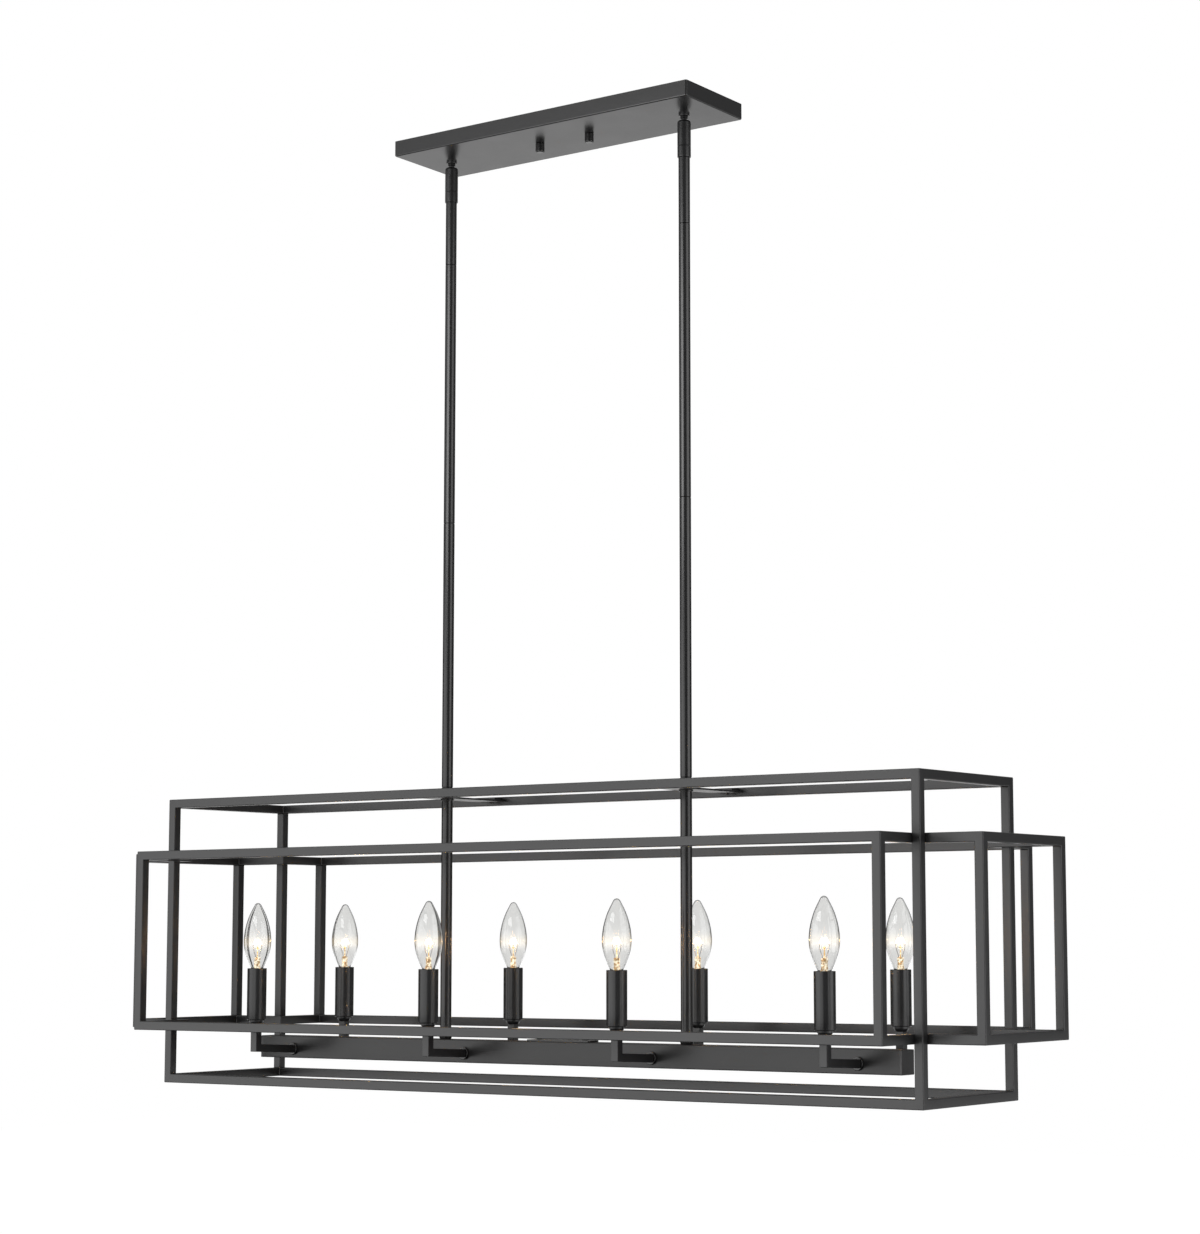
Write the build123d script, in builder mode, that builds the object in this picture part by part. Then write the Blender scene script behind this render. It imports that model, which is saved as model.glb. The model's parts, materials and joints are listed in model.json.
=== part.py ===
"""Linear island pendant: two nested frames of square tube around a row of paired candle
sockets, hung from a long ceiling canopy on two jointed rods.

Millimetres, +Z up, +X along the fixture. The origin is on the ceiling, at the middle of the
mounting strap's top face, so the whole fixture hangs below z = 0.
"""

from math import sqrt
import os

from build123d import *

os.makedirs("parts", exist_ok=True)

# ---------------------------------------------------------------- driving dimensions
# Frames: square steel tube, given by their outside sizes.
tube = 10.0
tube_wall = 1.0
mid_frame_length = 1143.0
mid_frame_width = 317.5
mid_frame_height = 204.8
tall_frame_length = 1016.0
tall_frame_width = 196.85
tall_frame_height = 330.2
tall_frame_top = -759.6

# Ceiling hardware.
canopy_length = 412.0
canopy_width = 111.0
canopy_height = 18.0
canopy_corner = 2.4
canopy_edge = 1.5
canopy_sheet = 1.0
strap_length = 160.0
strap_width = 25.0
strap_thickness = 2.0
box_screw_spacing = 88.9
box_slot_width = 4.8
box_slot_length = 9.0
stud_spacing = 69.85
stud_radius = 2.08
stud_recess = 0.2
stud_lead = 0.5
stud_bottom = -26.5
stud_hole_play = 0.5
stud_nut_half_width = 4.0
stud_nut_height = 3.0
nut_radius = 5.15
nut_height = 10.0
nut_play = 0.05
nut_gap = 0.3
nut_fillet = 1.4
nut_chamfer = 0.4
knurl_count = 20
knurl_radius = 0.45
ground_screw_x = 15.0
ground_screw_radius = 2.0
ground_head_radius = 4.5
ground_head_height = 2.2
ground_head_fillet = 0.8
ground_slot_width = 1.2
ground_slot_depth = 1.1

# Swivels, couplings and rods, one set at each end of stem_spacing.
stem_spacing = 330.2
rod_radius = 6.35
thread_radius = 4.8
thread_bore = 3.3
stem_nut_half_width = 7.0
stem_nut_height = 4.0
rod_length = 304.8
top_rod_length = 75.0
rod_edge = 0.4
nipple_reach = 10.0
nipple_foot = 8.0
swivel_top = -25.5
swivel_radius = 7.5
swivel_height = 29.5
swivel_shoulder = 2.8
joint_chamfer = 0.5
coupling_height = 12.5
coupling_foot_chamfer = 0.8
spigot_height = 9.0
pivot_drop = 5.5
ball_radius = 5.2
ball_play = 0.08
neck_flange_radius = 6.1
neck_flange_height = 2.5
neck_radius = 4.6
neck_height = 5.7
waist_radius = 3.0
waist_gap = 0.3
swing_reach = 2.2
neck_thread_height = 8.0
wire_bore = 2.2
pin_radius = 1.5
pin_play = 0.05
pin_inner_end = 2.8
pin_head_radius = 2.5
pin_head_height = 0.7
pin_seat = 6.9
pin_pocket = 2.0

# Wiring channel.
channel_length = 869.95
channel_size = 25.4
channel_wall = 1.5
channel_edge = 0.8
channel_top = -1036.5
cap_thickness = 3.0
cap_plug = 4.0
cap_chamfer = 0.35
access_length = 50.0
access_width = 14.0
access_corner = 2.0
cover_length = 86.0
cover_width = 20.0
cover_corner = 3.0
cover_thickness = 2.0
cover_chamfer = 0.4
cover_screw_spacing = 64.0

# Crossbars that carry the frames.
crossbar_width = 30.0
crossbar_thickness = 2.0
crossbar_drop = 3.9
tab_width = 20.0
tab_depth = 14.0
tab_thickness = 3.0
small_screw_radius = 1.6
small_head_radius = 2.6
small_head_height = 1.9
small_head_fillet = 1.2
small_screw_reach = 5.0
collar_radius = 7.8
collar_height = 2.0
stem_collar_height = 3.0
stem_collar_lip = 1.0
stem_collar_top_radius = 7.3
stem_collar_bottom_radius = 6.5

# Sockets: pairs along the channel, one in front and one behind. Each arm leaves a boss a little
# below the channel's middle and rises slightly to its corner.
socket_pitch = 256.0
socket_pairs = 4
socket_offset = 76.2
boss_radius = 7.0
boss_thickness = 3.0
boss_chamfer = 0.5
boss_drop = 2.0
arm_tube = 9.0
arm_rise = 3.0
stub_radius = 4.0
stub_bore = 2.6
stub_length = 6.0
arm_nut_half_width = 6.0
arm_nut_height = 3.0
sleeve_radius = 11.1
sleeve_wall = 1.0
sleeve_edge = 0.3
sleeve_height = 59.0
sleeve_top = -957.2
cup_radius = 8.0
cup_foot_radius = 5.6
cup_height = 5.2
cup_rim = 1.2
cup_plug = 4.2
socket_radius = 9.3
socket_drop = 2.3
socket_height = 32.5
socket_cavity = 18.9
socket_thread = 6.0
shell_radius = 6.55
shell_wall = 0.35
shell_height = 15.5
shell_drop = 1.0
contact_radius = 3.0
contact_thickness = 0.8

# Lamps: clear candle shape, about 32 mm across and 95 mm long. The profile holds the glass's
# radius at heights above the sleeve.
lamp_above_sleeve = 75.0
lamp_length = 95.0
glass_wall = 0.8
glass_profile = [
    (7.3, 0.8),
    (10.9, 9.0),
    (14.3, 19.5),
    (15.7, 30.0),
    (15.0, 40.6),
    (13.1, 50.2),
    (9.9, 60.1),
    (5.7, 68.9),
]
glass_start_slope = (0.4, 1)
glass_play = 0.05
neck_in_base = 5.0
neck_above_base = 0.3
base_radius = 5.85
base_wall = 0.35
base_height = 17.0
base_cone_height = 3.0
base_floor = 1.6
base_foot_radius = 3.4
base_foot_rise = 1.2
base_floor_radius = 2.6
base_cone_wall = 0.4
tip_radius = 1.9
tip_top_radius = 2.4
tip_height = 1.0
mount_radius = 3.0
mount_top_radius = 1.7
mount_foot_depth = 6.0
mount_above_sleeve = 13.5
filament_above_sleeve = 30.0
filament_radius = 0.55
lead_radius = 0.35
lead_foot_spread = 0.8
lead_spread = 4.5
lead_bend_height = 6.0

# ---------------------------------------------------------------- worked-out places
stem_xs = [-stem_spacing / 2, stem_spacing / 2]
stud_xs = [-stud_spacing / 2, stud_spacing / 2]
pair_xs = [socket_pitch * (i - (socket_pairs - 1) / 2) for i in range(socket_pairs)]
sides = [-1, 1]
canopy_bottom = -canopy_height
pivot_z = swivel_top - pivot_drop
swivel_bottom = swivel_top - swivel_height
coupling_bottom = swivel_bottom - coupling_height
rod_joints = [coupling_bottom - top_rod_length - rod_length * i for i in range(3)]
rod_bottom = channel_top + stem_collar_height
rod_ends = [coupling_bottom, *rod_joints, rod_bottom]
tall_frame_bottom = tall_frame_top - tall_frame_height
mid_frame_top = tall_frame_top - (tall_frame_height - mid_frame_height) / 2
mid_frame_bottom = mid_frame_top - mid_frame_height
channel_bottom = channel_top - channel_size
channel_middle = channel_top - channel_size / 2
boss_z = channel_middle - boss_drop
crossbar_top = tall_frame_top - crossbar_drop
crossbar_bottom = crossbar_top - crossbar_thickness
rail_inside = tall_frame_width / 2 - tube
crossbar_screw_y = rail_inside - tab_depth / 2
crossbar_screw_places = [(x, side * crossbar_screw_y) for x in stem_xs for side in sides]
cover_screw_places = [(side * cover_screw_spacing / 2, 0) for side in sides]
sleeve_bottom = sleeve_top - sleeve_height
cup_bottom = sleeve_bottom - cup_height
socket_top = sleeve_top - socket_drop
socket_bottom = socket_top - socket_height
lamp_top = sleeve_top + lamp_above_sleeve
lamp_bottom = lamp_top - lamp_length
base_top = lamp_bottom + base_height
nut_top = canopy_bottom - nut_gap


def group(name, pieces):
    """Write pieces that lie side by side as separate solids of one node."""
    node = Compound(label=name, children=pieces)
    export_step(node, f"parts/{name}.step")


def single(name, builder):
    """Write one finished piece as its own node."""
    builder.part.label = name
    export_step(builder.part, f"parts/{name}.step")


def turned_tube(outer, inner, top, bottom, x=0.0, y=0.0, edge=0.0):
    """A round tube standing at (x, y) from bottom up to top, its outer end edges eased."""
    with BuildPart() as piece:
        with BuildSketch(Plane.XY.offset(bottom)):
            with Locations((x, y)):
                Circle(outer)
                Circle(inner, mode=Mode.SUBTRACT)
        extrude(amount=top - bottom)
        if edge:
            rims = piece.edges().filter_by(GeomType.CIRCLE)
            chamfer(rims.filter_by(lambda rim: rim.radius > inner + edge), edge)
    return piece.part


# ---------------------------------------------------------------- ceiling hardware
def mounting_strap():
    """Flat strap that the ceiling box holds, slotted for the box screws."""
    with BuildPart() as strap:
        with BuildSketch(Plane.XY):
            SlotOverall(strap_length, strap_width)
            with Locations((-box_screw_spacing / 2, 0), (box_screw_spacing / 2, 0)):
                SlotOverall(box_slot_length, box_slot_width, mode=Mode.SUBTRACT)
            with Locations(*[(x, 0) for x in stud_xs]):
                Circle(stud_radius, mode=Mode.SUBTRACT)
            with Locations((ground_screw_x, 0)):
                Circle(ground_screw_radius, mode=Mode.SUBTRACT)
        extrude(amount=-strap_thickness)
    single("mounting_strap", strap)


def canopy_studs():
    """Two threaded studs that hang from the strap and carry the canopy."""
    with BuildPart() as studs:
        with BuildSketch(Plane.XY.offset(stud_bottom)):
            with Locations(*[(x, 0) for x in stud_xs]):
                Circle(stud_radius)
        extrude(amount=-stud_bottom - stud_recess)
        chamfer(studs.faces().group_by(Axis.Z)[0].edges(), stud_lead)
    single("canopy_studs", studs)


def stud_lock_nuts():
    """Hexagon nuts that lock the studs under the strap."""
    with BuildPart() as nuts:
        with BuildSketch(Plane.XY.offset(-strap_thickness)):
            with Locations(*[(x, 0) for x in stud_xs]):
                RegularPolygon(stud_nut_half_width, 6, major_radius=False)
                Circle(stud_radius, mode=Mode.SUBTRACT)
        extrude(amount=-stud_nut_height)
    single("stud_lock_nuts", nuts)


def ground_screw():
    """Earthing screw in the strap, its slotted head facing down into the canopy."""
    with BuildPart() as screw:
        with BuildSketch(Plane.XY.offset(-stud_recess)):
            with Locations((ground_screw_x, 0)):
                Circle(ground_screw_radius)
        extrude(amount=stud_recess - strap_thickness)
        with BuildSketch(Plane.XY.offset(-strap_thickness)):
            with Locations((ground_screw_x, 0)):
                Circle(ground_head_radius)
        extrude(amount=-ground_head_height)
        fillet(screw.faces().sort_by(Axis.Z)[0].edges(), ground_head_fillet)
        with BuildSketch(Plane.XY.offset(-strap_thickness - ground_head_height)):
            with Locations((ground_screw_x, 0)):
                Rectangle(2 * ground_head_radius, ground_slot_width)
        extrude(amount=ground_slot_depth, mode=Mode.SUBTRACT)
    single("ground_screw", screw)


def canopy_shell():
    """Shallow rectangular pan, open towards the ceiling."""
    with BuildPart() as pan:
        with BuildSketch(Plane.XY):
            RectangleRounded(canopy_length, canopy_width, canopy_corner)
        extrude(amount=-canopy_height)
        fillet(pan.faces().sort_by(Axis.Z)[0].edges(), canopy_edge)
        with BuildSketch(Plane.XY):
            RectangleRounded(
                canopy_length - 2 * canopy_sheet,
                canopy_width - 2 * canopy_sheet,
                canopy_corner - canopy_sheet,
            )
        extrude(amount=canopy_sheet - canopy_height, mode=Mode.SUBTRACT)
        with BuildSketch(Plane.XY.offset(canopy_bottom)):
            with Locations(*[(x, 0) for x in stem_xs]):
                Circle(thread_radius)
            with Locations(*[(x, 0) for x in stud_xs]):
                Circle(stud_radius + stud_hole_play)
        extrude(amount=canopy_sheet, mode=Mode.SUBTRACT)
    single("canopy_shell", pan)


def canopy_nut(name, x):
    """Round knurled nut that clamps the canopy on its stud, closed at its lower end."""
    with BuildPart() as nut:
        with BuildSketch(Plane.XY.offset(nut_top)):
            with Locations((x, 0)):
                Circle(nut_radius)
        extrude(amount=-nut_height)
        fillet(nut.faces().sort_by(Axis.Z)[0].edges(), nut_fillet)
        chamfer(nut.faces().sort_by(Axis.Z)[-1].edges(), nut_chamfer)
        with BuildSketch(Plane.XY.offset(nut_top - nut_height)):
            with Locations((x, 0)):
                with PolarLocations(nut_radius + knurl_radius / 2, knurl_count):
                    Circle(knurl_radius)
        extrude(amount=nut_height, mode=Mode.SUBTRACT)
        with BuildSketch(Plane.XY.offset(nut_top)):
            with Locations((x, 0)):
                Circle(stud_radius + nut_play)
        extrude(amount=stud_bottom - nut_gap - nut_top, mode=Mode.SUBTRACT)
    single(name, nut)


def swivel_ball(x):
    """Threaded neck under the canopy, ending in a ball that is cross-drilled for the pins."""
    with BuildPart() as ball:
        with BuildSketch(Plane.XZ):
            with BuildLine():
                Polyline(
                    (x + wire_bore, canopy_bottom + neck_thread_height),
                    (x + thread_radius, canopy_bottom + neck_thread_height),
                    (x + thread_radius, canopy_bottom),
                    (x + neck_flange_radius, canopy_bottom),
                    (x + neck_flange_radius, canopy_bottom - neck_flange_height),
                    (x + neck_radius, canopy_bottom - neck_flange_height),
                    (x + neck_radius, canopy_bottom - neck_height),
                    (x + waist_radius, canopy_bottom - neck_height),
                    (x + waist_radius, pivot_z),
                    (x + wire_bore, pivot_z),
                    close=True,
                )
            make_face()
        revolve(axis=Axis((x, 0, 0), (0, 0, 1)))
        with Locations((x, 0, pivot_z)):
            Sphere(ball_radius)
        with BuildSketch(Plane.XY.offset(pivot_z)):
            with Locations((x, 0)):
                Circle(wire_bore)
        extrude(amount=ball_radius, both=True, mode=Mode.SUBTRACT)
        with BuildSketch(Plane.YZ.offset(x)):
            with Locations((0, pivot_z)):
                Circle(pin_radius + pin_play)
        extrude(amount=ball_radius, both=True, mode=Mode.SUBTRACT)
    return ball.part


def swivel_lock_nuts():
    """Hexagon nuts on the pan's floor that hold the swivel necks."""
    with BuildPart() as nuts:
        with BuildSketch(Plane.XY.offset(canopy_bottom + canopy_sheet)):
            with Locations(*[(x, 0) for x in stem_xs]):
                RegularPolygon(stem_nut_half_width, 6, major_radius=False)
                Circle(thread_radius, mode=Mode.SUBTRACT)
        extrude(amount=stem_nut_height)
    single("swivel_lock_nuts", nuts)


# ---------------------------------------------------------------- swivels and rods
def swivel_socket(x):
    """Round-shouldered head of a stem that holds the ball, slotted above for the swing."""
    with BuildPart() as socket:
        with BuildSketch(Plane.XY.offset(swivel_bottom)):
            with Locations((x, 0)):
                Circle(swivel_radius)
        extrude(amount=swivel_height)
        fillet(socket.faces().sort_by(Axis.Z)[-1].edges(), swivel_shoulder)
        chamfer(socket.faces().sort_by(Axis.Z)[0].edges(), joint_chamfer)
        with BuildSketch(Plane.XY.offset(swivel_bottom)):
            with Locations((x, 0)):
                Circle(ball_radius + ball_play)
        extrude(amount=pivot_z - swivel_bottom, mode=Mode.SUBTRACT)
        with Locations((x, 0, pivot_z)):
            Sphere(ball_radius + ball_play, mode=Mode.SUBTRACT)
        with BuildSketch(Plane.XY.offset(pivot_z)):
            with Locations((x, 0)):
                half_width = waist_radius + waist_gap
                SlotOverall(2 * (half_width + swing_reach), 2 * half_width, rotation=90)
        extrude(amount=pivot_drop, mode=Mode.SUBTRACT)
        with BuildSketch(Plane.YZ.offset(x)):
            with Locations((0, pivot_z)):
                Circle(pin_radius)
        extrude(amount=swivel_radius, both=True, mode=Mode.SUBTRACT)
        for side in sides:
            with BuildSketch(Plane.YZ.offset(x + side * pin_seat)):
                with Locations((0, pivot_z)):
                    Circle(pin_head_radius)
            extrude(amount=side * pin_pocket, mode=Mode.SUBTRACT)
    return socket.part


def rod_coupling(x):
    """Coupling under a swivel: a spigot that closes the socket, over a bore for the nipple."""
    spigot = ball_radius + ball_play
    outline = [
        (thread_bore, swivel_bottom + spigot_height),
        (spigot, swivel_bottom + spigot_height),
        (spigot, swivel_bottom),
        (swivel_radius - joint_chamfer, swivel_bottom),
        (swivel_radius, swivel_bottom - joint_chamfer),
        (swivel_radius, coupling_bottom + coupling_foot_chamfer),
        (swivel_radius - coupling_foot_chamfer, coupling_bottom),
        (thread_radius, coupling_bottom),
        (thread_radius, swivel_bottom - joint_chamfer),
        (thread_bore, swivel_bottom - joint_chamfer),
    ]
    return turned_piece(outline, x, 0)


def swivel_pin(x, side):
    """Headed stub pin from one side of a swivel socket into its ball."""
    with BuildPart() as pin:
        with BuildSketch(Plane.YZ.offset(x + side * pin_inner_end)):
            with Locations((0, pivot_z)):
                Circle(pin_radius)
        extrude(amount=side * (pin_seat - pin_inner_end))
        with BuildSketch(Plane.YZ.offset(x + side * pin_seat)):
            with Locations((0, pivot_z)):
                Circle(pin_head_radius)
        extrude(amount=side * pin_head_height)
    return pin.part


def stem_collar(x):
    """Tapered collar between a rod's foot and the channel."""
    with BuildPart() as collar:
        with BuildSketch(Plane.XZ):
            with BuildLine():
                Polyline(
                    (x + thread_radius, channel_top),
                    (x + stem_collar_bottom_radius, channel_top),
                    (x + stem_collar_top_radius, rod_bottom - stem_collar_lip),
                    (x + stem_collar_top_radius, rod_bottom),
                    (x + thread_radius, rod_bottom),
                    close=True,
                )
            make_face()
        revolve(axis=Axis((x, 0, 0), (0, 0, 1)))
    return collar.part


def stem_parts():
    """Swivel sockets, couplings, pins, rod segments, nipples and collars of both stems."""
    group("swivel_sockets", [swivel_socket(x) for x in stem_xs])
    group("rod_couplings", [rod_coupling(x) for x in stem_xs])
    group("swivel_pins", [swivel_pin(x, side) for x in stem_xs for side in sides])
    for name, x in zip(["stem_rods_left", "stem_rods_right"], stem_xs):
        segments = zip(rod_ends, rod_ends[1:])
        group(
            name,
            [
                turned_tube(rod_radius, thread_radius, top, bottom, x, 0, rod_edge)
                for top, bottom in segments
            ],
        )
    nipple_spans = [(swivel_bottom - joint_chamfer, coupling_bottom - nipple_reach)]
    nipple_spans += [(z + nipple_reach, z - nipple_reach) for z in rod_joints]
    nipple_spans += [(rod_bottom + nipple_reach, channel_top - nipple_foot)]
    group(
        "rod_nipples",
        [
            turned_tube(thread_radius, thread_bore, top, bottom, x)
            for x in stem_xs
            for top, bottom in nipple_spans
        ],
    )
    group(
        "crossbar_collars",
        [
            turned_tube(
                collar_radius, rod_radius, crossbar_bottom, crossbar_bottom - collar_height, x
            )
            for x in stem_xs
        ],
    )
    group("stem_collars", [stem_collar(x) for x in stem_xs])


# ---------------------------------------------------------------- frames
def inset(corners, depth):
    """Corners of a right-angled outline, listed anticlockwise, moved inwards by depth."""
    points = [Vector(*corner) for corner in corners]
    moved = []
    for i, point in enumerate(points):
        arriving = (point - points[i - 1]).normalized()
        leaving = (points[(i + 1) % len(points)] - point).normalized()
        turned = arriving + leaving
        moved.append(point + Vector(-turned.Y, turned.X) * depth)
    return moved


def mitred_ring(corners, bottom):
    """Square tubes mitred end to end around an outline, each its own solid."""
    outside = inset(corners, 0)
    inside = inset(corners, tube)
    bore_outside = inset(corners, tube_wall)
    bore_inside = inset(corners, tube - tube_wall)
    rails = []
    for i in range(len(corners)):
        j = (i + 1) % len(corners)
        with BuildPart() as rail:
            with BuildSketch(Plane.XY.offset(bottom)):
                Polygon(outside[i], outside[j], inside[j], inside[i], align=None)
            extrude(amount=tube)
            with BuildSketch(Plane.XY.offset(bottom + tube_wall)):
                Polygon(
                    bore_outside[i], bore_outside[j], bore_inside[j], bore_inside[i], align=None
                )
            extrude(amount=tube - 2 * tube_wall, mode=Mode.SUBTRACT)
        rails.append(rail.part)
    return rails


def frame_posts(name, centres, top, bottom):
    """Upright square tubes between the top and bottom rings of a frame."""
    with BuildPart() as posts:
        with BuildSketch(Plane.XY.offset(bottom + tube)):
            with Locations(*centres):
                Rectangle(tube, tube)
                Rectangle(tube - 2 * tube_wall, tube - 2 * tube_wall, mode=Mode.SUBTRACT)
        extrude(amount=top - bottom - 2 * tube)
    single(name, posts)


def tall_frame():
    """The narrow tall frame: a plain box of tubes."""
    x = tall_frame_length / 2
    y = tall_frame_width / 2
    corners = [(-x, -y), (x, -y), (x, y), (-x, y)]
    top_ring = mitred_ring(corners, tall_frame_top - tube)
    bottom_ring = mitred_ring(corners, tall_frame_bottom)
    group("tall_frame_rails", top_ring + bottom_ring)
    centres = inset(corners, tube / 2)
    frame_posts("tall_frame_posts", centres, tall_frame_top, tall_frame_bottom)


def mid_frame():
    """The low frame: a cross-shaped ring whose notched corners hug the tall posts."""
    long_x = mid_frame_length / 2
    notch_x = tall_frame_length / 2 - tube
    wide_y = mid_frame_width / 2
    notch_y = tall_frame_width / 2 - tube
    corners = [
        (-notch_x, -wide_y),
        (notch_x, -wide_y),
        (notch_x, -notch_y),
        (long_x, -notch_y),
        (long_x, notch_y),
        (notch_x, notch_y),
        (notch_x, wide_y),
        (-notch_x, wide_y),
        (-notch_x, notch_y),
        (-long_x, notch_y),
        (-long_x, -notch_y),
        (-notch_x, -notch_y),
    ]
    top_ring = mitred_ring(corners, mid_frame_top - tube)
    bottom_ring = mitred_ring(corners, mid_frame_bottom)
    group("mid_frame_rails", top_ring + bottom_ring)
    middles = inset(corners, tube / 2)
    notches = [(x, y) for x in (-notch_x, notch_x) for y in (-notch_y, notch_y)]
    centres = [middle for corner, middle in zip(corners, middles) if corner not in notches]
    frame_posts("mid_frame_posts", centres, mid_frame_top, mid_frame_bottom)


def crossbars():
    """Flat bars across the tall frame's top that rest on the stems' collars."""
    with BuildPart() as bars:
        with BuildSketch(Plane.XY.offset(crossbar_bottom)):
            with Locations(*[(x, 0) for x in stem_xs]):
                Rectangle(crossbar_width, 2 * rail_inside)
                Circle(rod_radius, mode=Mode.SUBTRACT)
            with Locations(*crossbar_screw_places):
                Circle(small_screw_radius, mode=Mode.SUBTRACT)
        extrude(amount=crossbar_thickness)
    single("crossbars", bars)


def crossbar_tabs():
    """Small plates welded inside the top rails, which the crossbars are screwed to."""
    with BuildPart() as tabs:
        with BuildSketch(Plane.XY.offset(crossbar_top)):
            with Locations(*crossbar_screw_places):
                Rectangle(tab_width, tab_depth)
                Circle(small_screw_radius, mode=Mode.SUBTRACT)
        extrude(amount=tab_thickness)
    single("crossbar_tabs", tabs)


def button_screws(name, places, seat, up, length):
    """Round-headed screws with their heads on the plane z = seat, the shanks reaching away."""
    heads = small_head_height if up else -small_head_height
    with BuildPart() as screws:
        with BuildSketch(Plane.XY.offset(seat)):
            with Locations(*places):
                Circle(small_head_radius)
        extrude(amount=heads)
        outer = screws.faces().group_by(Axis.Z)[-1 if up else 0]
        fillet(outer.edges(), small_head_fillet)
        with BuildSketch(Plane.XY.offset(seat)):
            with Locations(*places):
                Circle(small_screw_radius)
        extrude(amount=-length if up else length)
    single(name, screws)


# ---------------------------------------------------------------- wiring channel
def channel_body():
    """Square steel channel that carries the sockets and hides the wiring."""
    with BuildPart() as body:
        length = channel_length - 2 * cap_thickness
        with BuildSketch(Plane.YZ.offset(-length / 2)):
            with Locations((0, channel_middle)):
                RectangleRounded(channel_size, channel_size, channel_edge)
                inner = channel_size - 2 * channel_wall
                Rectangle(inner, inner, mode=Mode.SUBTRACT)
        extrude(amount=length)
        with BuildSketch(Plane.XY.offset(channel_top)):
            with Locations(*[(x, 0) for x in stem_xs]):
                Circle(thread_radius)
            RectangleRounded(access_length, access_width, access_corner)
            with Locations(*cover_screw_places):
                Circle(small_screw_radius)
        extrude(amount=-channel_wall, mode=Mode.SUBTRACT)
        with BuildSketch(Plane.XZ.offset(-channel_size / 2)):
            with Locations(*[(x, boss_z) for x in pair_xs]):
                Circle(stub_radius)
        extrude(amount=channel_size, mode=Mode.SUBTRACT)
    single("channel_body", body)


def channel_end_cap(side):
    """Plate that closes an end of the channel, with a plug that centres it."""
    face = side * (channel_length / 2 - cap_thickness)
    with BuildPart() as cap:
        with BuildSketch(Plane.YZ.offset(face)):
            with Locations((0, channel_middle)):
                RectangleRounded(channel_size, channel_size, channel_edge)
        extrude(amount=side * cap_thickness)
        outer_face = cap.faces().sort_by(Axis.X)[0 if side < 0 else -1]
        chamfer(outer_face.edges(), cap_chamfer)
        with BuildSketch(Plane.YZ.offset(face)):
            with Locations((0, channel_middle)):
                inner = channel_size - 2 * channel_wall
                Rectangle(inner, inner)
        extrude(amount=-side * cap_plug)
    return cap.part


def channel_cover():
    """Plate over the wiring access on top of the channel."""
    with BuildPart() as cover:
        with BuildSketch(Plane.XY.offset(channel_top)):
            RectangleRounded(cover_length, cover_width, cover_corner)
            with Locations(*cover_screw_places):
                Circle(small_screw_radius, mode=Mode.SUBTRACT)
        extrude(amount=cover_thickness)
        top = cover.faces().sort_by(Axis.Z)[-1]
        chamfer(top.outer_wire().edges(), cover_chamfer)
    single("channel_cover", cover)


def channel_lock_nuts():
    """Hexagon nuts inside the channel, on the stems' nipples and on the arms' stubs."""
    nuts = []
    for x in stem_xs:
        with BuildPart() as nut:
            with BuildSketch(Plane.XY.offset(channel_top - channel_wall)):
                with Locations((x, 0)):
                    RegularPolygon(stem_nut_half_width, 6, major_radius=False)
                    Circle(thread_radius, mode=Mode.SUBTRACT)
            extrude(amount=-stem_nut_height)
        nuts.append(nut.part)
    for x in pair_xs:
        for side in sides:
            wall = side * (channel_size / 2 - channel_wall)
            with BuildPart() as nut:
                with BuildSketch(Plane.XZ.offset(-wall)):
                    with Locations((x, boss_z)):
                        RegularPolygon(arm_nut_half_width, 6, major_radius=False)
                        Circle(stub_radius, mode=Mode.SUBTRACT)
                extrude(amount=side * arm_nut_height)
            nuts.append(nut.part)
    group("channel_lock_nuts", nuts)


# ---------------------------------------------------------------- sockets
def socket_arm(x, side):
    """Two square tubes mitred together: one out from the channel, one up to the cup."""
    start = channel_size / 2 + boss_thickness
    slope = arm_rise / (socket_offset - start)
    spread = sqrt(1 + slope * slope)
    legs = []
    for upright in (False, True):
        with BuildPart() as leg:
            for inset_by, mode in ((0, Mode.ADD), (tube_wall, Mode.SUBTRACT)):
                half = arm_tube / 2 - inset_by
                far, near = socket_offset + half, socket_offset - half
                low, high = boss_z - half * spread, boss_z + half * spread
                corner = [(far, low + slope * (far - start)), (near, high + slope * (near - start))]
                ends = [(near, cup_bottom), (far, cup_bottom)]
                if not upright:
                    ends = [(start, high), (start, low)]
                with BuildSketch(Plane.YZ.offset(x - half)):
                    with BuildLine():
                        Polyline(*[(side * y, z) for y, z in corner + ends], close=True)
                    make_face()
                extrude(amount=2 * half, mode=mode)
        legs.append(leg.part)
    return legs


def arm_boss(x, side):
    """Round boss at the channel's face, with the threaded stub that passes inside."""
    face = side * channel_size / 2
    with BuildPart() as boss:
        with BuildSketch(Plane.XZ.offset(-face)):
            with Locations((x, boss_z)):
                Circle(boss_radius)
        extrude(amount=-side * boss_thickness)
        outer_face = boss.faces().sort_by(Axis.Y)[0 if side < 0 else -1]
        chamfer(outer_face.edges(), boss_chamfer)
        with BuildSketch(Plane.XZ.offset(-face)):
            with Locations((x, boss_z)):
                Circle(stub_radius)
        extrude(amount=side * stub_length)
        with BuildSketch(Plane.XZ.offset(-face - side * boss_thickness)):
            with Locations((x, boss_z)):
                Circle(stub_bore)
        extrude(amount=side * (boss_thickness + stub_length), mode=Mode.SUBTRACT)
    return boss.part


def turned_piece(outline, x, y):
    """A solid of revolution about the upright axis at (x, y); outline holds (radius, z)."""
    with BuildPart() as piece:
        with BuildSketch(Plane.XZ.offset(-y)):
            with BuildLine():
                Polyline(*[(x + radius, z) for radius, z in outline], close=True)
            make_face()
        revolve(axis=Axis((x, y, 0), (0, 0, 1)))
    return piece.part


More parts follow.
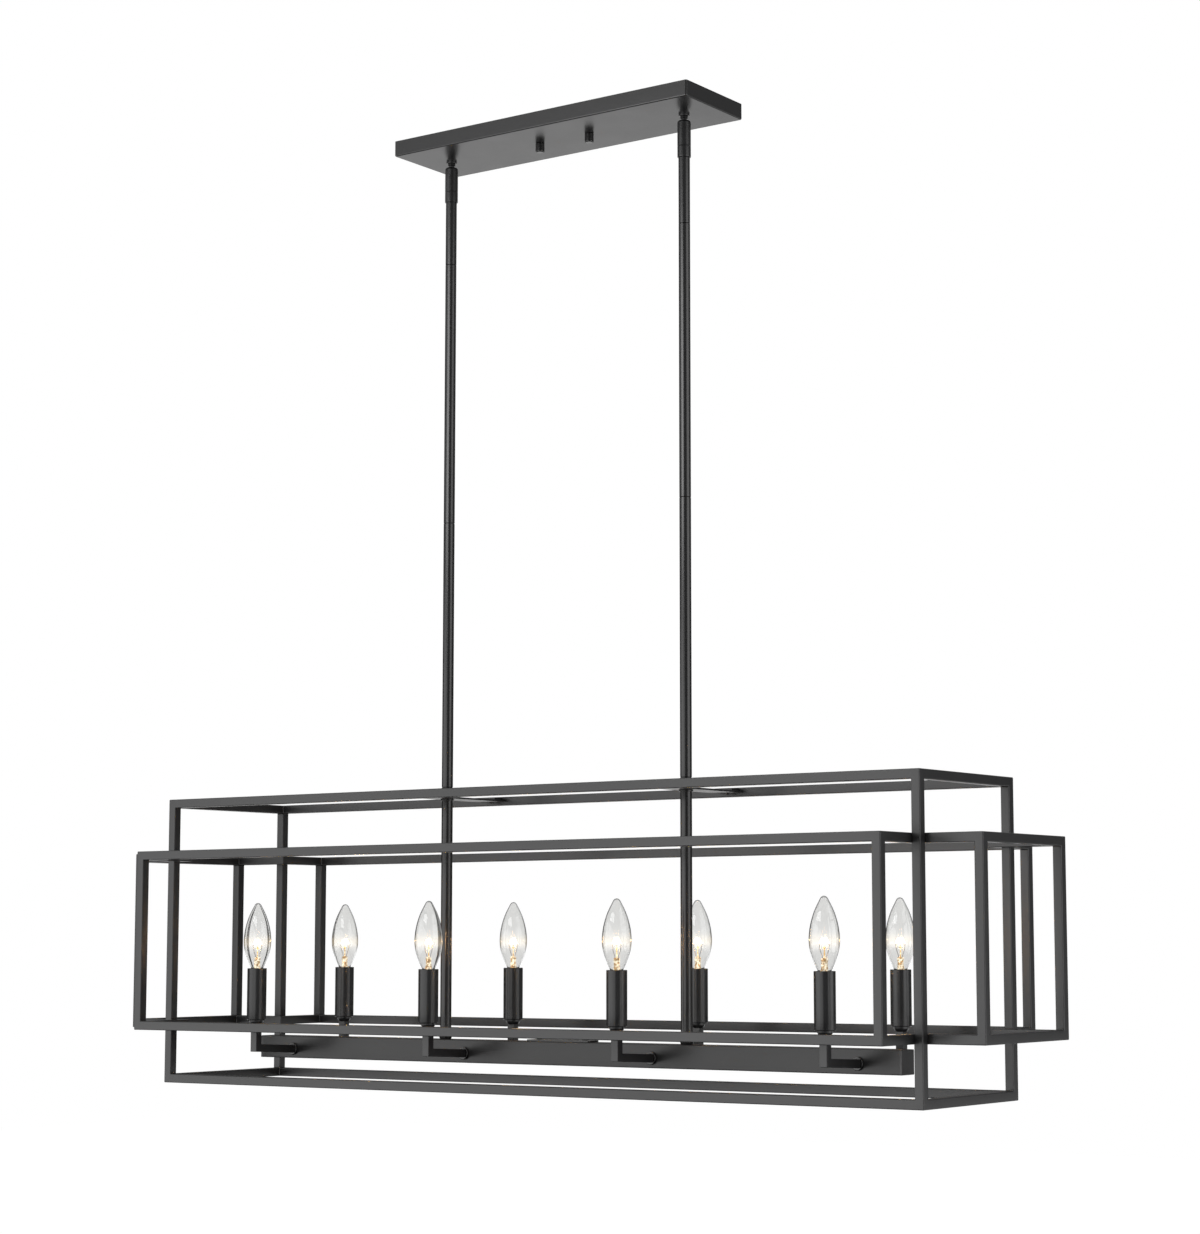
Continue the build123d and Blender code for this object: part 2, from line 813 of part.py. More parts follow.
def socket_cup(x, y):
    """Turned cup on the arm's end: a plug inside the sleeve over a short cone."""
    plug = sleeve_radius - sleeve_wall
    outline = [
        (thread_radius, sleeve_bottom + cup_plug),
        (plug, sleeve_bottom + cup_plug),
        (plug, sleeve_bottom),
        (cup_radius, sleeve_bottom),
        (cup_radius, sleeve_bottom - cup_rim),
        (cup_foot_radius, cup_bottom),
        (thread_radius, cup_bottom),
    ]
    return turned_piece(outline, x, y)


def lamp_socket(x, y):
    """Insulating socket body: a cavity for the shell above, a threaded bore below."""
    floor = socket_top - socket_cavity
    outline = [
        (0, floor),
        (shell_radius, floor),
        (shell_radius, socket_top),
        (socket_radius, socket_top),
        (socket_radius, socket_bottom),
        (thread_radius, socket_bottom),
        (thread_radius, socket_bottom + socket_thread),
        (0, socket_bottom + socket_thread),
    ]
    return turned_piece(outline, x, y)


def socket_contact(x, y):
    """Centre contact on the socket's floor."""
    floor = socket_top - socket_cavity
    outline = [
        (0, floor),
        (contact_radius, floor),
        (contact_radius, floor + contact_thickness),
        (0, floor + contact_thickness),
    ]
    return turned_piece(outline, x, y)


def socket_parts():
    """Arms, bosses, cups, posts, sockets, contacts and sleeves of every socket."""
    places = [(x, side) for side in sides for x in pair_xs]
    axes = [(x, side * socket_offset) for x, side in places]
    group("socket_arms", [leg for x, side in places for leg in socket_arm(x, side)])
    group("arm_bosses", [arm_boss(x, side) for x, side in places])
    group("socket_cups", [socket_cup(x, y) for x, y in axes])
    post_top = socket_bottom + socket_thread
    group(
        "socket_posts",
        [turned_tube(thread_radius, thread_bore, post_top, cup_bottom, x, y) for x, y in axes],
    )
    group("sockets", [lamp_socket(x, y) for x, y in axes])
    shell_top = socket_top - shell_drop
    shells = [
        turned_tube(
            shell_radius, shell_radius - shell_wall, shell_top, shell_top - shell_height, x, y
        )
        for x, y in axes
    ]
    group("socket_contacts", shells + [socket_contact(x, y) for x, y in axes])
    group(
        "candle_sleeves",
        [
            turned_tube(
                sleeve_radius,
                sleeve_radius - sleeve_wall,
                sleeve_top,
                sleeve_bottom,
                x,
                y,
                sleeve_edge,
            )
            for x, y in axes
        ],
    )


# ---------------------------------------------------------------- lamps
def glass_outline(thickness):
    """Half outline of the candle-shaped glass as (radius, z), from its neck to its tip."""
    neck = base_radius - base_wall - glass_play
    lower = [(neck, base_top - neck_in_base), (neck, base_top + neck_above_base)]
    bulge = [(radius, sleeve_top + height) for radius, height in glass_profile]
    outline = lower + bulge
    tip = (0, lamp_top - thickness)
    return [(radius - thickness, z) for radius, z in outline], tip


def lamp_glass(name, x, y):
    """Blown glass envelope: a thin shell, open at the neck inside the base."""
    with BuildPart() as glass:
        for thickness, mode in ((0.0, Mode.ADD), (glass_wall, Mode.SUBTRACT)):
            outline, tip = glass_outline(thickness)
            with BuildSketch(Plane.XZ.offset(-y)):
                with BuildLine():
                    points = [(x + radius, z) for radius, z in outline]
                    foot = Line((x, points[0][1]), points[0])
                    neck = Line(foot @ 1, points[1])
                    bulge = Spline(
                        *points[1:],
                        (x + tip[0], tip[1]),
                        tangents=[glass_start_slope, (-1, 0)],
                    )
                    Line(bulge @ 1, foot @ 0)
                make_face()
            revolve(axis=Axis((x, y, 0), (0, 0, 1)), mode=mode)
    single(name, glass)


def lamp_base(name, x, y):
    """Metal screw base: a rimmed cup that holds the glass, ending in the centre contact."""
    inner = base_radius - base_wall
    skirt = lamp_bottom + base_cone_height
    outline = [
        (inner, base_top),
        (base_radius, base_top),
        (base_radius, skirt),
        (base_foot_radius, lamp_bottom + base_foot_rise),
        (tip_top_radius, lamp_bottom + tip_height),
        (tip_radius, lamp_bottom),
        (0, lamp_bottom),
        (0, lamp_bottom + base_floor),
        (base_floor_radius, lamp_bottom + base_floor),
        (inner, skirt + base_cone_wall),
    ]
    piece = turned_piece(outline, x, y)
    piece.label = name
    export_step(piece, f"parts/{name}.step")


def lamp_filament(name, x, y):
    """Glass mount in the neck, two lead wires and the filament that they hold."""
    mount_top = sleeve_top + mount_above_sleeve
    filament_z = sleeve_top + filament_above_sleeve
    with BuildPart() as mount:
        with BuildSketch(Plane.XY.offset(base_top - mount_foot_depth)):
            with Locations((x, y)):
                Circle(mount_radius)
        with BuildSketch(Plane.XY.offset(mount_top)):
            with Locations((x, y)):
                Circle(mount_top_radius)
        loft()
    wires = []
    for side in sides:
        with BuildPart() as wire:
            with BuildLine(Plane.XZ.offset(-y)) as route:
                Polyline(
                    (x + side * lead_foot_spread, mount_top),
                    (x + side * lead_spread, mount_top + lead_bend_height),
                    (x + side * lead_spread, filament_z),
                )
            with BuildSketch(Plane(origin=route.line @ 0, z_dir=route.line % 0)):
                Circle(lead_radius)
            sweep(transition=Transition.RIGHT)
        wires.append(wire.part)
    with BuildPart() as coil:
        reach = 2 * (lead_spread - lead_radius)
        with BuildSketch(Plane.YZ.offset(x - reach / 2)):
            with Locations((y, filament_z - filament_radius)):
                Circle(filament_radius)
        extrude(amount=reach)
    group(name, [mount.part, *wires, coil.part])


def lamps():
    """Every lamp, numbered from the left, the front row first."""
    places = [(x, side * socket_offset) for side in sides for x in pair_xs]
    for number, (x, y) in enumerate(places, start=1):
        lamp_glass(f"bulb_{number}_glass", x, y)
        lamp_base(f"bulb_{number}_base", x, y)
        lamp_filament(f"bulb_{number}_filament", x, y)


# ---------------------------------------------------------------- the whole pendant
mounting_strap()
canopy_studs()
stud_lock_nuts()
ground_screw()
canopy_shell()
for nut_name, stud_x in zip(["canopy_nut_left", "canopy_nut_right"], stud_xs):
    canopy_nut(nut_name, stud_x)
group("swivel_balls", [swivel_ball(x) for x in stem_xs])
swivel_lock_nuts()
stem_parts()
tall_frame()
mid_frame()
crossbars()
crossbar_tabs()
button_screws(
    "crossbar_screws", crossbar_screw_places, crossbar_bottom, False, small_screw_reach
)
channel_body()
group("channel_end_caps", [channel_end_cap(side) for side in sides])
channel_cover()
cover_top = channel_top + cover_thickness
button_screws("channel_cover_screws", cover_screw_places, cover_top, True, small_screw_reach)
channel_lock_nuts()
socket_parts()
lamps()
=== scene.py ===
"""Linear island pendant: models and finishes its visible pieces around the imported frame.

Metres, +Z up, +X along the fixture, origin on the ceiling. Places and overall sizes come from the
frame's own boxes, roundings and looks from the property groups, and small forms from the named
values beside them.
"""

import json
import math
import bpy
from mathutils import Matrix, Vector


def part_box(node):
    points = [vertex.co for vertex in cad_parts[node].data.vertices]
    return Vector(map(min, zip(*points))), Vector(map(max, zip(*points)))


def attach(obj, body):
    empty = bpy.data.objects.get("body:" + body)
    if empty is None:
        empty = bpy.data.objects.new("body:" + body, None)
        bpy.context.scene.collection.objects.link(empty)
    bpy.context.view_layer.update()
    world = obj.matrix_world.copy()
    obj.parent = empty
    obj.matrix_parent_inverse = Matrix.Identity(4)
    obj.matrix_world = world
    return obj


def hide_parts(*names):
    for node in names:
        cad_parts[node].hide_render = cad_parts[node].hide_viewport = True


bl_info = {
    "name": "Linear Island Pendant",
    "version": (1, 0, 0),
    "blender": (4, 5, 0),
    "location": "View3D > Sidebar > Pendant",
    "description": "Models and finishes the visible pieces of a linear island pendant",
    "category": "Add Mesh",
}

import bmesh
import bpy
from bpy.props import FloatProperty, FloatVectorProperty, IntProperty, PointerProperty
from mathutils import Vector

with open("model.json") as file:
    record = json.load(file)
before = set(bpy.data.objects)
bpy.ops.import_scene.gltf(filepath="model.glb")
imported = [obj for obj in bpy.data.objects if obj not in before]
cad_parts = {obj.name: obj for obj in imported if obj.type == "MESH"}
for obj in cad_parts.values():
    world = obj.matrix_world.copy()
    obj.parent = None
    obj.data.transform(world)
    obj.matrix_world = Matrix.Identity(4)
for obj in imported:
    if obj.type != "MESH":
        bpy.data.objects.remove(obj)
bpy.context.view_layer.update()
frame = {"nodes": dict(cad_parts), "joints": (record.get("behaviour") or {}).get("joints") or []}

mm = 0.001
full_turn = 2 * math.pi
canopy = "canopy"
hanging = "hanging"
lamp_numbers = range(1, 9)
sides = (-1, 1)


# ---------------------------------------------------------------- places, read from the frame
def low(node):
    """Lowest corner of a frame node."""
    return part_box(node)[0]


def high(node):
    """Highest corner of a frame node."""
    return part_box(node)[1]


def middle_of(node):
    """Middle of a frame node's box."""
    return (low(node) + high(node)) / 2


def ends_of(node):
    """Top and bottom height of a frame node."""
    return high(node).z, low(node).z


def radius_of(node, axis="y"):
    """Radius of a round node, or of the round pieces that it holds in a row along X."""
    return (getattr(high(node), axis) - getattr(low(node), axis)) / 2


tube = high("tall_frame_rails").z - high("tall_frame_posts").z
stem_x = middle_of("stem_rods_right").x
stem_xs = (-stem_x, stem_x)
stem_places = [(x, 0, 0) for x in stem_xs]
nut_xs = (middle_of("canopy_nut_left").x, middle_of("canopy_nut_right").x)
lamp_places = [middle_of(f"bulb_{number}_glass") * Vector((1, 1, 0)) for number in lamp_numbers]
pair_xs = [place.x for place in lamp_places[:4]]
socket_y = lamp_places[-1].y
sleeve_top, sleeve_bottom = ends_of("candle_sleeves")
lamp_top = high("bulb_1_glass").z
filament_height = high("bulb_1_filament").z
channel_low, channel_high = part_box("channel_body")
channel_end = high("channel_end_caps").x
canopy_bottom = low("canopy_shell").z
swivel_pivot = Vector(frame["joints"][0]["pos_m"]).z

# slack for picking corners, edges and faces by their place
hair = 0.1 * mm

# inside radii that neighbouring turned pieces share
rod_bore = 4.8 * mm
ball_cavity = 5.28 * mm
head_mouth = 3.3 * mm


# ---------------------------------------------------------------- what a user would change
def length(name, default, description):
    """A length property shown in the scene's unit."""
    return FloatProperty(
        name=name, description=description, default=default, min=0.0, unit="LENGTH", precision=5
    )


def share(name, default, description, highest=1.0):
    """A property between nothing and its highest value."""
    return FloatProperty(name=name, description=description, default=default, min=0.0, max=highest)


def tint(name, default, description):
    """A colour property."""
    return FloatVectorProperty(
        name=name, description=description, default=default, min=0.0, max=1.0, subtype="COLOR"
    )


class PendantSizes(bpy.types.PropertyGroup):
    """Roundings and small forms that the bare frame leaves sharp."""

    tube_edge: length("Tube edge", 0.9 * mm, "Outside corner radius of the frames' square tube")
    sheet_edge: length("Canopy edge", 1.6 * mm, "Radius along the canopy's bottom edges")
    canopy_corner: length("Canopy corner", 2.4 * mm, "Radius of the canopy's upright corners")
    canopy_sheet: length("Canopy sheet", 1.0 * mm, "Thickness of the canopy's sheet")
    channel_edge: length("Channel edge", 1.0 * mm, "Corner radius of the wiring channel")
    arm_edge: length("Arm edge", 0.5 * mm, "Corner radius of the socket arms")
    arm_rise: length("Arm rise", 3.0 * mm, "How far an arm climbs from its boss to its corner")
    bar_edge: length("Bar edge", 0.35 * mm, "Radius along the crossbars and the cover plate")
    turned_edge: length("Turned edge", 0.35 * mm, "Radius on the ends of the collars")
    glass_wall: length("Glass wall", 0.7 * mm, "Thickness of the lamps' glass")
    turned_steps: IntProperty(
        name="Turned steps", description="Facets round a turned piece", default=48, min=12
    )


class PendantFinishes(bpy.types.PropertyGroup):
    """Colours and surface values of the finishes."""

    coat_colour: tint("Coat colour", (0.0075, 0.0075, 0.0078), "Satin black powder coat")
    coat_roughness: share("Coat roughness", 0.30, "Mean roughness of the powder coat")
    glass_colour: tint("Glass colour", (0.88, 0.88, 0.872), "Tint of the lamps' clear glass")
    # painted glow on the lamps' glass near the filament: its colour, strength and spread
    glow_colour: tint("Glow colour", (1.0, 0.84, 0.60), "Warm light on the glass by the filament")
    glow_strength: share("Glow strength", 0.08, "Strength of the glow on each glass surface")
    glow_spread: length("Glow spread", 6.0 * mm, "Height over which the glow fades")
    filament_colour: tint("Filament colour", (1.0, 0.62, 0.28), "Colour of the lit filament")
    filament_strength: share("Filament strength", 40.0, "Strength of the lit filament", 200.0)
    lamp_colour: tint("Lamp colour", (1.0, 0.55, 0.24), "Colour of the light from each lamp")
    lamp_power: share("Lamp power", 0.11, "Watts of warm light from each lamp", 10.0)


class PendantStage(bpy.types.PropertyGroup):
    """Camera, floor and studio light."""

    camera_place: FloatVectorProperty(
        name="Camera place", description="Where the camera stands", size=3,
        default=(1.83979, -2.45883, -0.92576), subtype="TRANSLATION",
    )
    camera_turn: FloatVectorProperty(
        name="Camera turn", description="Pitch up, roll and heading of the camera", size=3,
        default=(math.radians(6.66), math.radians(-0.15), math.radians(34.46)), subtype="EULER",
    )
    focal_length: FloatProperty(
        name="Focal length", description="Millimetres, on a 36 mm long side", default=80.65
    )
    shift: FloatProperty(
        name="Shift", description="Sideways lens shift, in long sides", default=-0.0615
    )
    floor_drop: length("Floor drop", 2.4, "Height of the ceiling over the floor")
    floor_size: length("Floor size", 30.0, "Side of the square floor")
    floor_colour: tint("Floor colour", (0.55, 0.55, 0.545), "Pale floor")
    key: share("Key light", 5.0, "Radiance of the soft light high at the front", 20.0)
    low: share("Low light", 1.85, "Radiance of the wide soft light low at the front", 20.0)
    dim: share("Dim light", 1.25, "Radiance of its dimmer left part", 20.0)
    tall: share("Tall light", 0.8, "Radiance of the tall soft light further off", 20.0)
    side: share("Side light", 2.2, "Radiance of the tall soft light at the right end", 20.0)
    fill: share("Fill", 0.5, "Strength of the even light from all round", 2.0)
    mirrored: share("Mirrored", 0.26, "Strength of the dim room that the metal mirrors", 2.0)
    sweep: share("Sweep", 1.15, "Strength of the bright low backdrop that the metal mirrors", 2.0)


# ---------------------------------------------------------------- shader building
class Value:
    """An output of a node; sums and products of values add their Math nodes."""

    def __init__(self, shader, node, output=0):
        self.shader = shader
        self.node = node
        self.output = output

    def at(self, output):
        """Another output of the same node, by its name or number."""
        return Value(self.shader, self.node, output)

    def _with(self, operation, first, second=0.0):
        return self.shader.node("Math", {"operation": operation}, {0: first, 1: second})

    def __add__(self, other):
        return self._with("ADD", self, other)

    def __sub__(self, other):
        return self._with("SUBTRACT", self, other)

    def __rsub__(self, other):
        return self._with("SUBTRACT", other, self)

    def __mul__(self, other):
        return self._with("MULTIPLY", self, other)

    def __truediv__(self, other):
        return self._with("DIVIDE", self, other)

    __radd__ = __add__
    __rmul__ = __mul__

    def exp(self):
        """e raised to this value."""
        return self._with("EXPONENT", self)

    def smaller(self, other):
        """The smaller of this value and another."""
        return self._with("MINIMUM", self, other)


class Shader:
    """The node tree of one material or of the world."""

    def __init__(self, owner):
        owner.use_nodes = True
        self.tree = owner.node_tree
        self.tree.nodes.clear()

    def node(self, kind, settings=None, inputs=None):
        """Add a node of a kind, set its settings, then the values or links of its sockets."""
        node = self.tree.nodes.new("ShaderNode" + kind)
        for key, setting in (settings or {}).items():
            setattr(node, key, setting)
        for key, given in (inputs or {}).items():
            if isinstance(given, Value):
                self.tree.links.new(given.node.outputs[given.output], node.inputs[key])
            else:
                node.inputs[key].default_value = given
        return Value(self, node)

    def place(self):
        """Object coordinates."""
        return self.node("TexCoord").at("Object")

    def noise(self, scale, detail=2.0):
        """Noise between nothing and one, with features of 1 / scale metres."""
        inputs = {"Vector": self.place(), "Scale": scale, "Detail": detail, "Roughness": 0.5}
        return self.node("TexNoise", inputs=inputs).at("Fac")

    def between(self, value, start, end):
        """Nothing at the start, one at the end, and a smooth way between."""
        inputs = {"Value": value, "From Min": start, "From Max": end}
        return self.node("MapRange", {"interpolation_type": "SMOOTHSTEP"}, inputs).at("Result")

    def blend(self, factor, first, second):
        """A colour between two colours."""
        inputs = {"Factor": factor, 6: rgba(first), 7: rgba(second)}
        return self.node("Mix", {"data_type": "RGBA"}, inputs).at(2)

    def bump(self, height, distance, strength):
        """A normal bent by a height."""
        inputs = {"Height": height, "Distance": distance, "Strength": strength}
        return self.node("Bump", inputs=inputs)

    def paint(self, **inputs):
        """The main surface shader, its sockets named with _ for spaces."""
        named = {key.replace("_", " "): given for key, given in inputs.items()}
        return self.node("BsdfPrincipled", inputs=named)

    def output(self, surface, kind="OutputMaterial"):
        """Link a shader to the output."""
        self.node(kind, inputs={"Surface": surface})

    def surface(self, **inputs):
        """The main surface shader, linked to the output."""
        self.output(self.paint(**inputs))


black = (0.0, 0.0, 0.0)
white = (1.0, 1.0, 1.0)


def rgba(colour):
    """A colour with its fourth number."""
    return (*colour, 1.0)


def scaled(colour, factor):
    """A colour made deeper or paler."""
    return [factor * part for part in colour]


# ---------------------------------------------------------------- finishes
def powder_coat(shader, gloss, specular, relief):
    """Black powder coat: a fine orange peel, slightly uneven in sheen and depth.

    gloss is taken off the coat's roughness, specular is the strength of its shine, and relief is
    the height of the orange peel.
    """
    finishes = bpy.context.scene.pendant_finishes
    dark = finishes.coat_colour
    cloud = shader.noise(28.0, 3.0)
    grain = shader.noise(1500.0)
    peel = shader.noise(520.0, 1.0)
    shader.surface(
        Base_Color=shader.blend(0.6 * cloud + 0.4 * grain, dark, scaled(dark, 1.35)),
        Roughness=finishes.coat_roughness - gloss - 0.05 + 0.06 * cloud + 0.04 * grain,
        Specular_IOR_Level=specular,
        Normal=shader.bump(0.7 * peel + 0.3 * grain, relief, 0.5),
    )


def metal(shader, colour, roughness):
    """Bare metal with a little cloudiness and fine scratches."""
    cloud = shader.noise(90.0, 3.0)
    grain = shader.noise(1800.0)
    shader.surface(
        Base_Color=shader.blend(cloud, scaled(colour, 0.8), colour),
        Metallic=1.0,
        Roughness=roughness - 0.06 + 0.12 * cloud,
        Normal=shader.bump(grain, 0.02 * mm, 0.4),
    )


def moulded_plastic(shader):
    """Black moulded insulator with a fine matt texture."""
    grain = shader.noise(2200.0)
    shader.surface(
        Base_Color=shader.blend(grain, (0.012, 0.012, 0.012), (0.03, 0.03, 0.03)),
        Roughness=0.5 + 0.15 * grain,
        Normal=shader.bump(grain, 0.05 * mm, 0.4),
    )


def green_enamel(shader):
    """Green enamel of the earthing screw, thin on its high spots."""
    cloud = shader.noise(700.0)
    shader.surface(
        Base_Color=shader.blend(cloud, (0.02, 0.16, 0.05), (0.05, 0.3, 0.1)),
        Roughness=0.3 + 0.2 * cloud,
        Normal=shader.bump(cloud, 0.04 * mm, 0.4),
    )


def lamp_glass(shader):
    """Clear glass with a painted glow of the filament's light, strongest at the filament's height.
    """
    finishes = bpy.context.scene.pendant_finishes
    height = shader.node("SeparateXYZ", inputs={0: shader.place()}).at("Z")
    off = (height - filament_height) / finishes.glow_spread
    near = (-1.0 * (off * off)).exp()
    ripple = shader.noise(70.0, 1.0)
    shader.surface(
        Base_Color=rgba(finishes.glass_colour),
        Roughness=0.0,
        IOR=1.45,
        Transmission_Weight=1.0,
        # painted glow: warm emission on the glass, fading away from the filament's height, stands
        # in for the filament's light on it
        Emission_Color=shader.blend(near, black, finishes.glow_colour),
        Emission_Strength=finishes.glow_strength,
        Normal=shader.bump(ripple, 0.4 * mm, 0.25),
    )


def mount_glass(shader, deep, pale, glow):
    """Glass of the lamps' inner mount, with painted streaks of the filament's light and shade,
    deep and pale at random, that also glow as painted light.
    """
    cloud = shader.noise(420.0)
    # painted light and shade: random deep and pale streaks stand in for the filament's light in
    # the mount
    painted_light_streaks = shader.blend(shader.between(cloud, 0.42, 0.6), deep, pale)
    shader.surface(
        Base_Color=painted_light_streaks,
        Roughness=0.12 + 0.1 * cloud,
        Transmission_Weight=0.5,
        IOR=1.5,
        # painted glow: the mount's glass emits its streak colours, though it is no lamp
        Emission_Color=painted_light_streaks,
        Emission_Strength=glow,
    )


def lit_wire(shader):
    """The glowing filament."""
    finishes = bpy.context.scene.pendant_finishes
    colour = finishes.filament_colour
    shader.surface(
        Base_Color=rgba((0.2, 0.1, 0.05)),
        Roughness=0.5,
        Emission_Color=shader.blend(shader.noise(900.0, 1.0), scaled(colour, 0.85), colour),
        Emission_Strength=finishes.filament_strength,
    )


class Finishes:
    """Each finish, made once when it is first asked for."""

    recipes = {
        "coat": (powder_coat, "satin_black_coat", 0.0, 0.5, 0.05 * mm),
        "channel_coat": (powder_coat, "satin_black_channel", 0.0, 0.38, 0.05 * mm),
        "sleeve_coat": (powder_coat, "satin_black_sleeve", 0.04, 0.42, 0.02 * mm),
        "turned_coat": (powder_coat, "satin_black_turned", 0.08, 0.5, 0.01 * mm),
        "zinc": (metal, "zinc_plate", (0.62, 0.62, 0.6), 0.36),
        "brass": (metal, "lamp_brass", (0.8, 0.62, 0.32), 0.3),
        "nickel": (metal, "nickel_wire", (0.3, 0.27, 0.24), 0.3),
        "plastic": (moulded_plastic, "insulator_plastic"),
        "enamel": (green_enamel, "green_enamel"),
        "glass": (lamp_glass, "lamp_glass"),
        # stem and cane glass: deep and pale colours of the painted light streaks, then the
        # strength of their painted glow
        "stem_glass": (mount_glass, "mount_glass", (0.30, 0.20, 0.10), (1.0, 0.97, 0.82), 0.45),
        "cane_glass": (mount_glass, "cane_glass", (0.55, 0.36, 0.14), (1.0, 0.92, 0.68), 0.5),
        "filament": (lit_wire, "lit_filament"),
    }
    made = {}

    @classmethod
    def get(cls, name):
        """The finish of that name."""
        if name not in cls.made:
            recipe, title, *settings = cls.recipes[name]
            cls.made[name] = bpy.data.materials.new(title)
            recipe(Shader(cls.made[name]), *settings)
        return cls.made[name]


# ---------------------------------------------------------------- modelling
def deselect():
    """Leave edit mode and select nothing."""
    if bpy.context.object and bpy.context.object.mode != "OBJECT":
        bpy.ops.object.mode_set(mode="OBJECT")
    bpy.ops.object.select_all(action="DESELECT")


def take(piece):
    """Select one piece alone and make it the piece in hand."""
    deselect()
    piece.select_set(True)
    bpy.context.view_layer.objects.active = piece


def edit():
    """Work on the mesh of the piece in hand, all of it selected."""
    bpy.ops.object.mode_set(mode="EDIT")
    bpy.ops.mesh.select_mode(type="VERT")
    bpy.ops.mesh.select_all(action="SELECT")


def done():
    """Leave edit mode and return the piece in hand."""
    bpy.ops.object.mode_set(mode="OBJECT")
    return bpy.context.object


def pick(kind, test):
    """Select the vertices, edges or faces whose middle and own data pass a test."""
    bpy.ops.mesh.select_mode(type=kind)
    bpy.ops.mesh.select_all(action="DESELECT")
    mesh = bmesh.from_edit_mesh(bpy.context.object.data)
    found = {"VERT": mesh.verts, "EDGE": mesh.edges, "FACE": mesh.faces}[kind]
    for item in found:
        corners = [item] if kind == "VERT" else list(item.verts)
        middle = sum((corner.co for corner in corners), Vector()) / len(corners)
        item.select_set(bool(test(middle, item)))
    mesh.select_flush_mode()
    bmesh.update_edit_mesh(bpy.context.object.data)


def move(offset):
    """Move what is selected in edit mode."""
    bpy.ops.transform.translate(value=offset)


def resize(factors):
    """Scale what is selected in edit mode about the origin."""
    bpy.ops.transform.resize(value=factors, center_override=(0, 0, 0))


def extrude(offset):
    """Pull the selected corners, edges or faces out by an offset."""
    bpy.ops.mesh.extrude_region_move(TRANSFORM_OT_translate={"value": offset})


def outwards():
    """Merge doubles and turn every face outwards."""
    bpy.ops.mesh.select_all(action="SELECT")
    bpy.ops.mesh.remove_doubles(threshold=1e-6)
    bpy.ops.mesh.normals_make_consistent(inside=False)


def block(lowest, highest):
    """A box between two corners, left in edit mode."""
    deselect()
    bpy.ops.mesh.primitive_cube_add(size=1)
    edit()
    lowest, highest = Vector(lowest), Vector(highest)
    resize(highest - lowest)
    move((lowest + highest) / 2)


def soften(axis, radius, segments):
    """Round the edges of the block in hand that run along an axis."""

    def runs_along(place, edge):
        start, end = (getattr(corner.co, axis) for corner in edge.verts)
        return abs(start - end) > hair

    pick("EDGE", runs_along)
    bpy.ops.mesh.bevel(offset=radius, segments=segments, affect="EDGES")


def cylinder(radius, depth, height=0.0, steps=48):
    """A plain cylinder on the upright axis, its middle at a height."""
    deselect()
    bpy.ops.mesh.primitive_cylinder_add(
        vertices=steps, radius=radius, depth=depth, location=(0, 0, height)
    )
    return settle(bpy.context.object)


def turned(outline, steps=None, closed=True, along="Z"):
    """Turn an outline of (radius, height) points round an axis, as on a lathe."""
    steps = steps or bpy.context.scene.pendant_sizes.turned_steps
    axis = Vector((0, 0, 1)) if along == "Z" else Vector((0, 1, 0))
    points = [Vector((radius, 0, 0)) + axis * height for radius, height in outline]
    deselect()
    bpy.ops.mesh.primitive_plane_add(size=1 * mm)
    edit()
    bpy.ops.mesh.merge(type="CENTER")
    move(points[0])
    for start, end in zip(points, points[1:]):
        extrude(end - start)
    if closed:
        last = len(points) - 1
        pick("VERT", lambda middle, corner: corner.index in (0, last))
        bpy.ops.mesh.edge_face_add()
    bpy.ops.mesh.select_all(action="SELECT")
    bpy.ops.mesh.spin(steps=steps, angle=full_turn, center=(0, 0, 0), axis=axis)
    outwards()
    return done()


def arc(centre, radius, start, end, steps=6):
    """Points (radius, height) along an arc, angles in degrees from the outward direction."""
    angles = [math.radians(start + (end - start) * i / steps) for i in range(steps + 1)]
    return [
        (centre[0] + radius * math.cos(angle), centre[1] + radius * math.sin(angle))
        for angle in angles
    ]


def smooth_line(points, steps):
    """Points on a smooth line through given (radius, height) points, so many to each stretch."""
    ends = [points[0], *points, points[-1]]
    line = []
    for before, start, end, after in zip(ends, ends[1:], ends[2:], ends[3:]):
        for t in (i / steps for i in range(steps)):
            spot = [
                0.5 * (2 * b + (c - a) * t + (2 * a - 5 * b + 4 * c - d) * t * t
                       + (3 * b - a - 3 * c + d) * t ** 3)
                for a, b, c, d in zip(before, start, end, after)
            ]
            line.append(tuple(spot))
    return [*line, points[-1]]


def settle(piece):
    """Put the piece's place into its mesh, so that its object sits at the origin."""
    take(piece)
    bpy.ops.object.transform_apply(location=True, rotation=True, scale=True)
    return piece


def copy_of(piece, offset, turn=0.0):
    """A copy with its own mesh, turned about the upright axis and moved."""
    take(piece)
    bpy.ops.object.duplicate(linked=False)
    twin = bpy.context.object
    twin.rotation_euler.z = turn
    settle(twin)
    twin.location = offset
    return settle(twin)


def joined(pieces):
    """Several pieces as one."""
    deselect()
    for piece in pieces:
        piece.select_set(True)
    bpy.context.view_layer.objects.active = pieces[0]
    bpy.ops.object.join()
    return bpy.context.object


def repeated(master, offsets, turns=None):
    """Copies of a master at each offset and turn, joined as one piece; the master goes."""
    turns = turns or [0.0] * len(offsets)
    twins = [copy_of(master, offset, turn) for offset, turn in zip(offsets, turns)]
    bpy.data.objects.remove(master)
    return joined(twins)


def both_ways(master, xs, height=0.0):
    """Copies at each x, one turned to the front and one to the back, joined as one piece."""
    places = [(x, 0, height) for x in xs for side in sides]
    return repeated(master, places, [math.pi, 0.0] * len(xs))


def modify(piece, kind, **settings):
    """Add a modifier with settings and apply it."""
    take(piece)
    modifier = piece.modifiers.new(kind.title(), kind)
    for key, setting in settings.items():
        setattr(modifier, key, setting)
    bpy.ops.object.modifier_apply(modifier=modifier.name)
    return piece


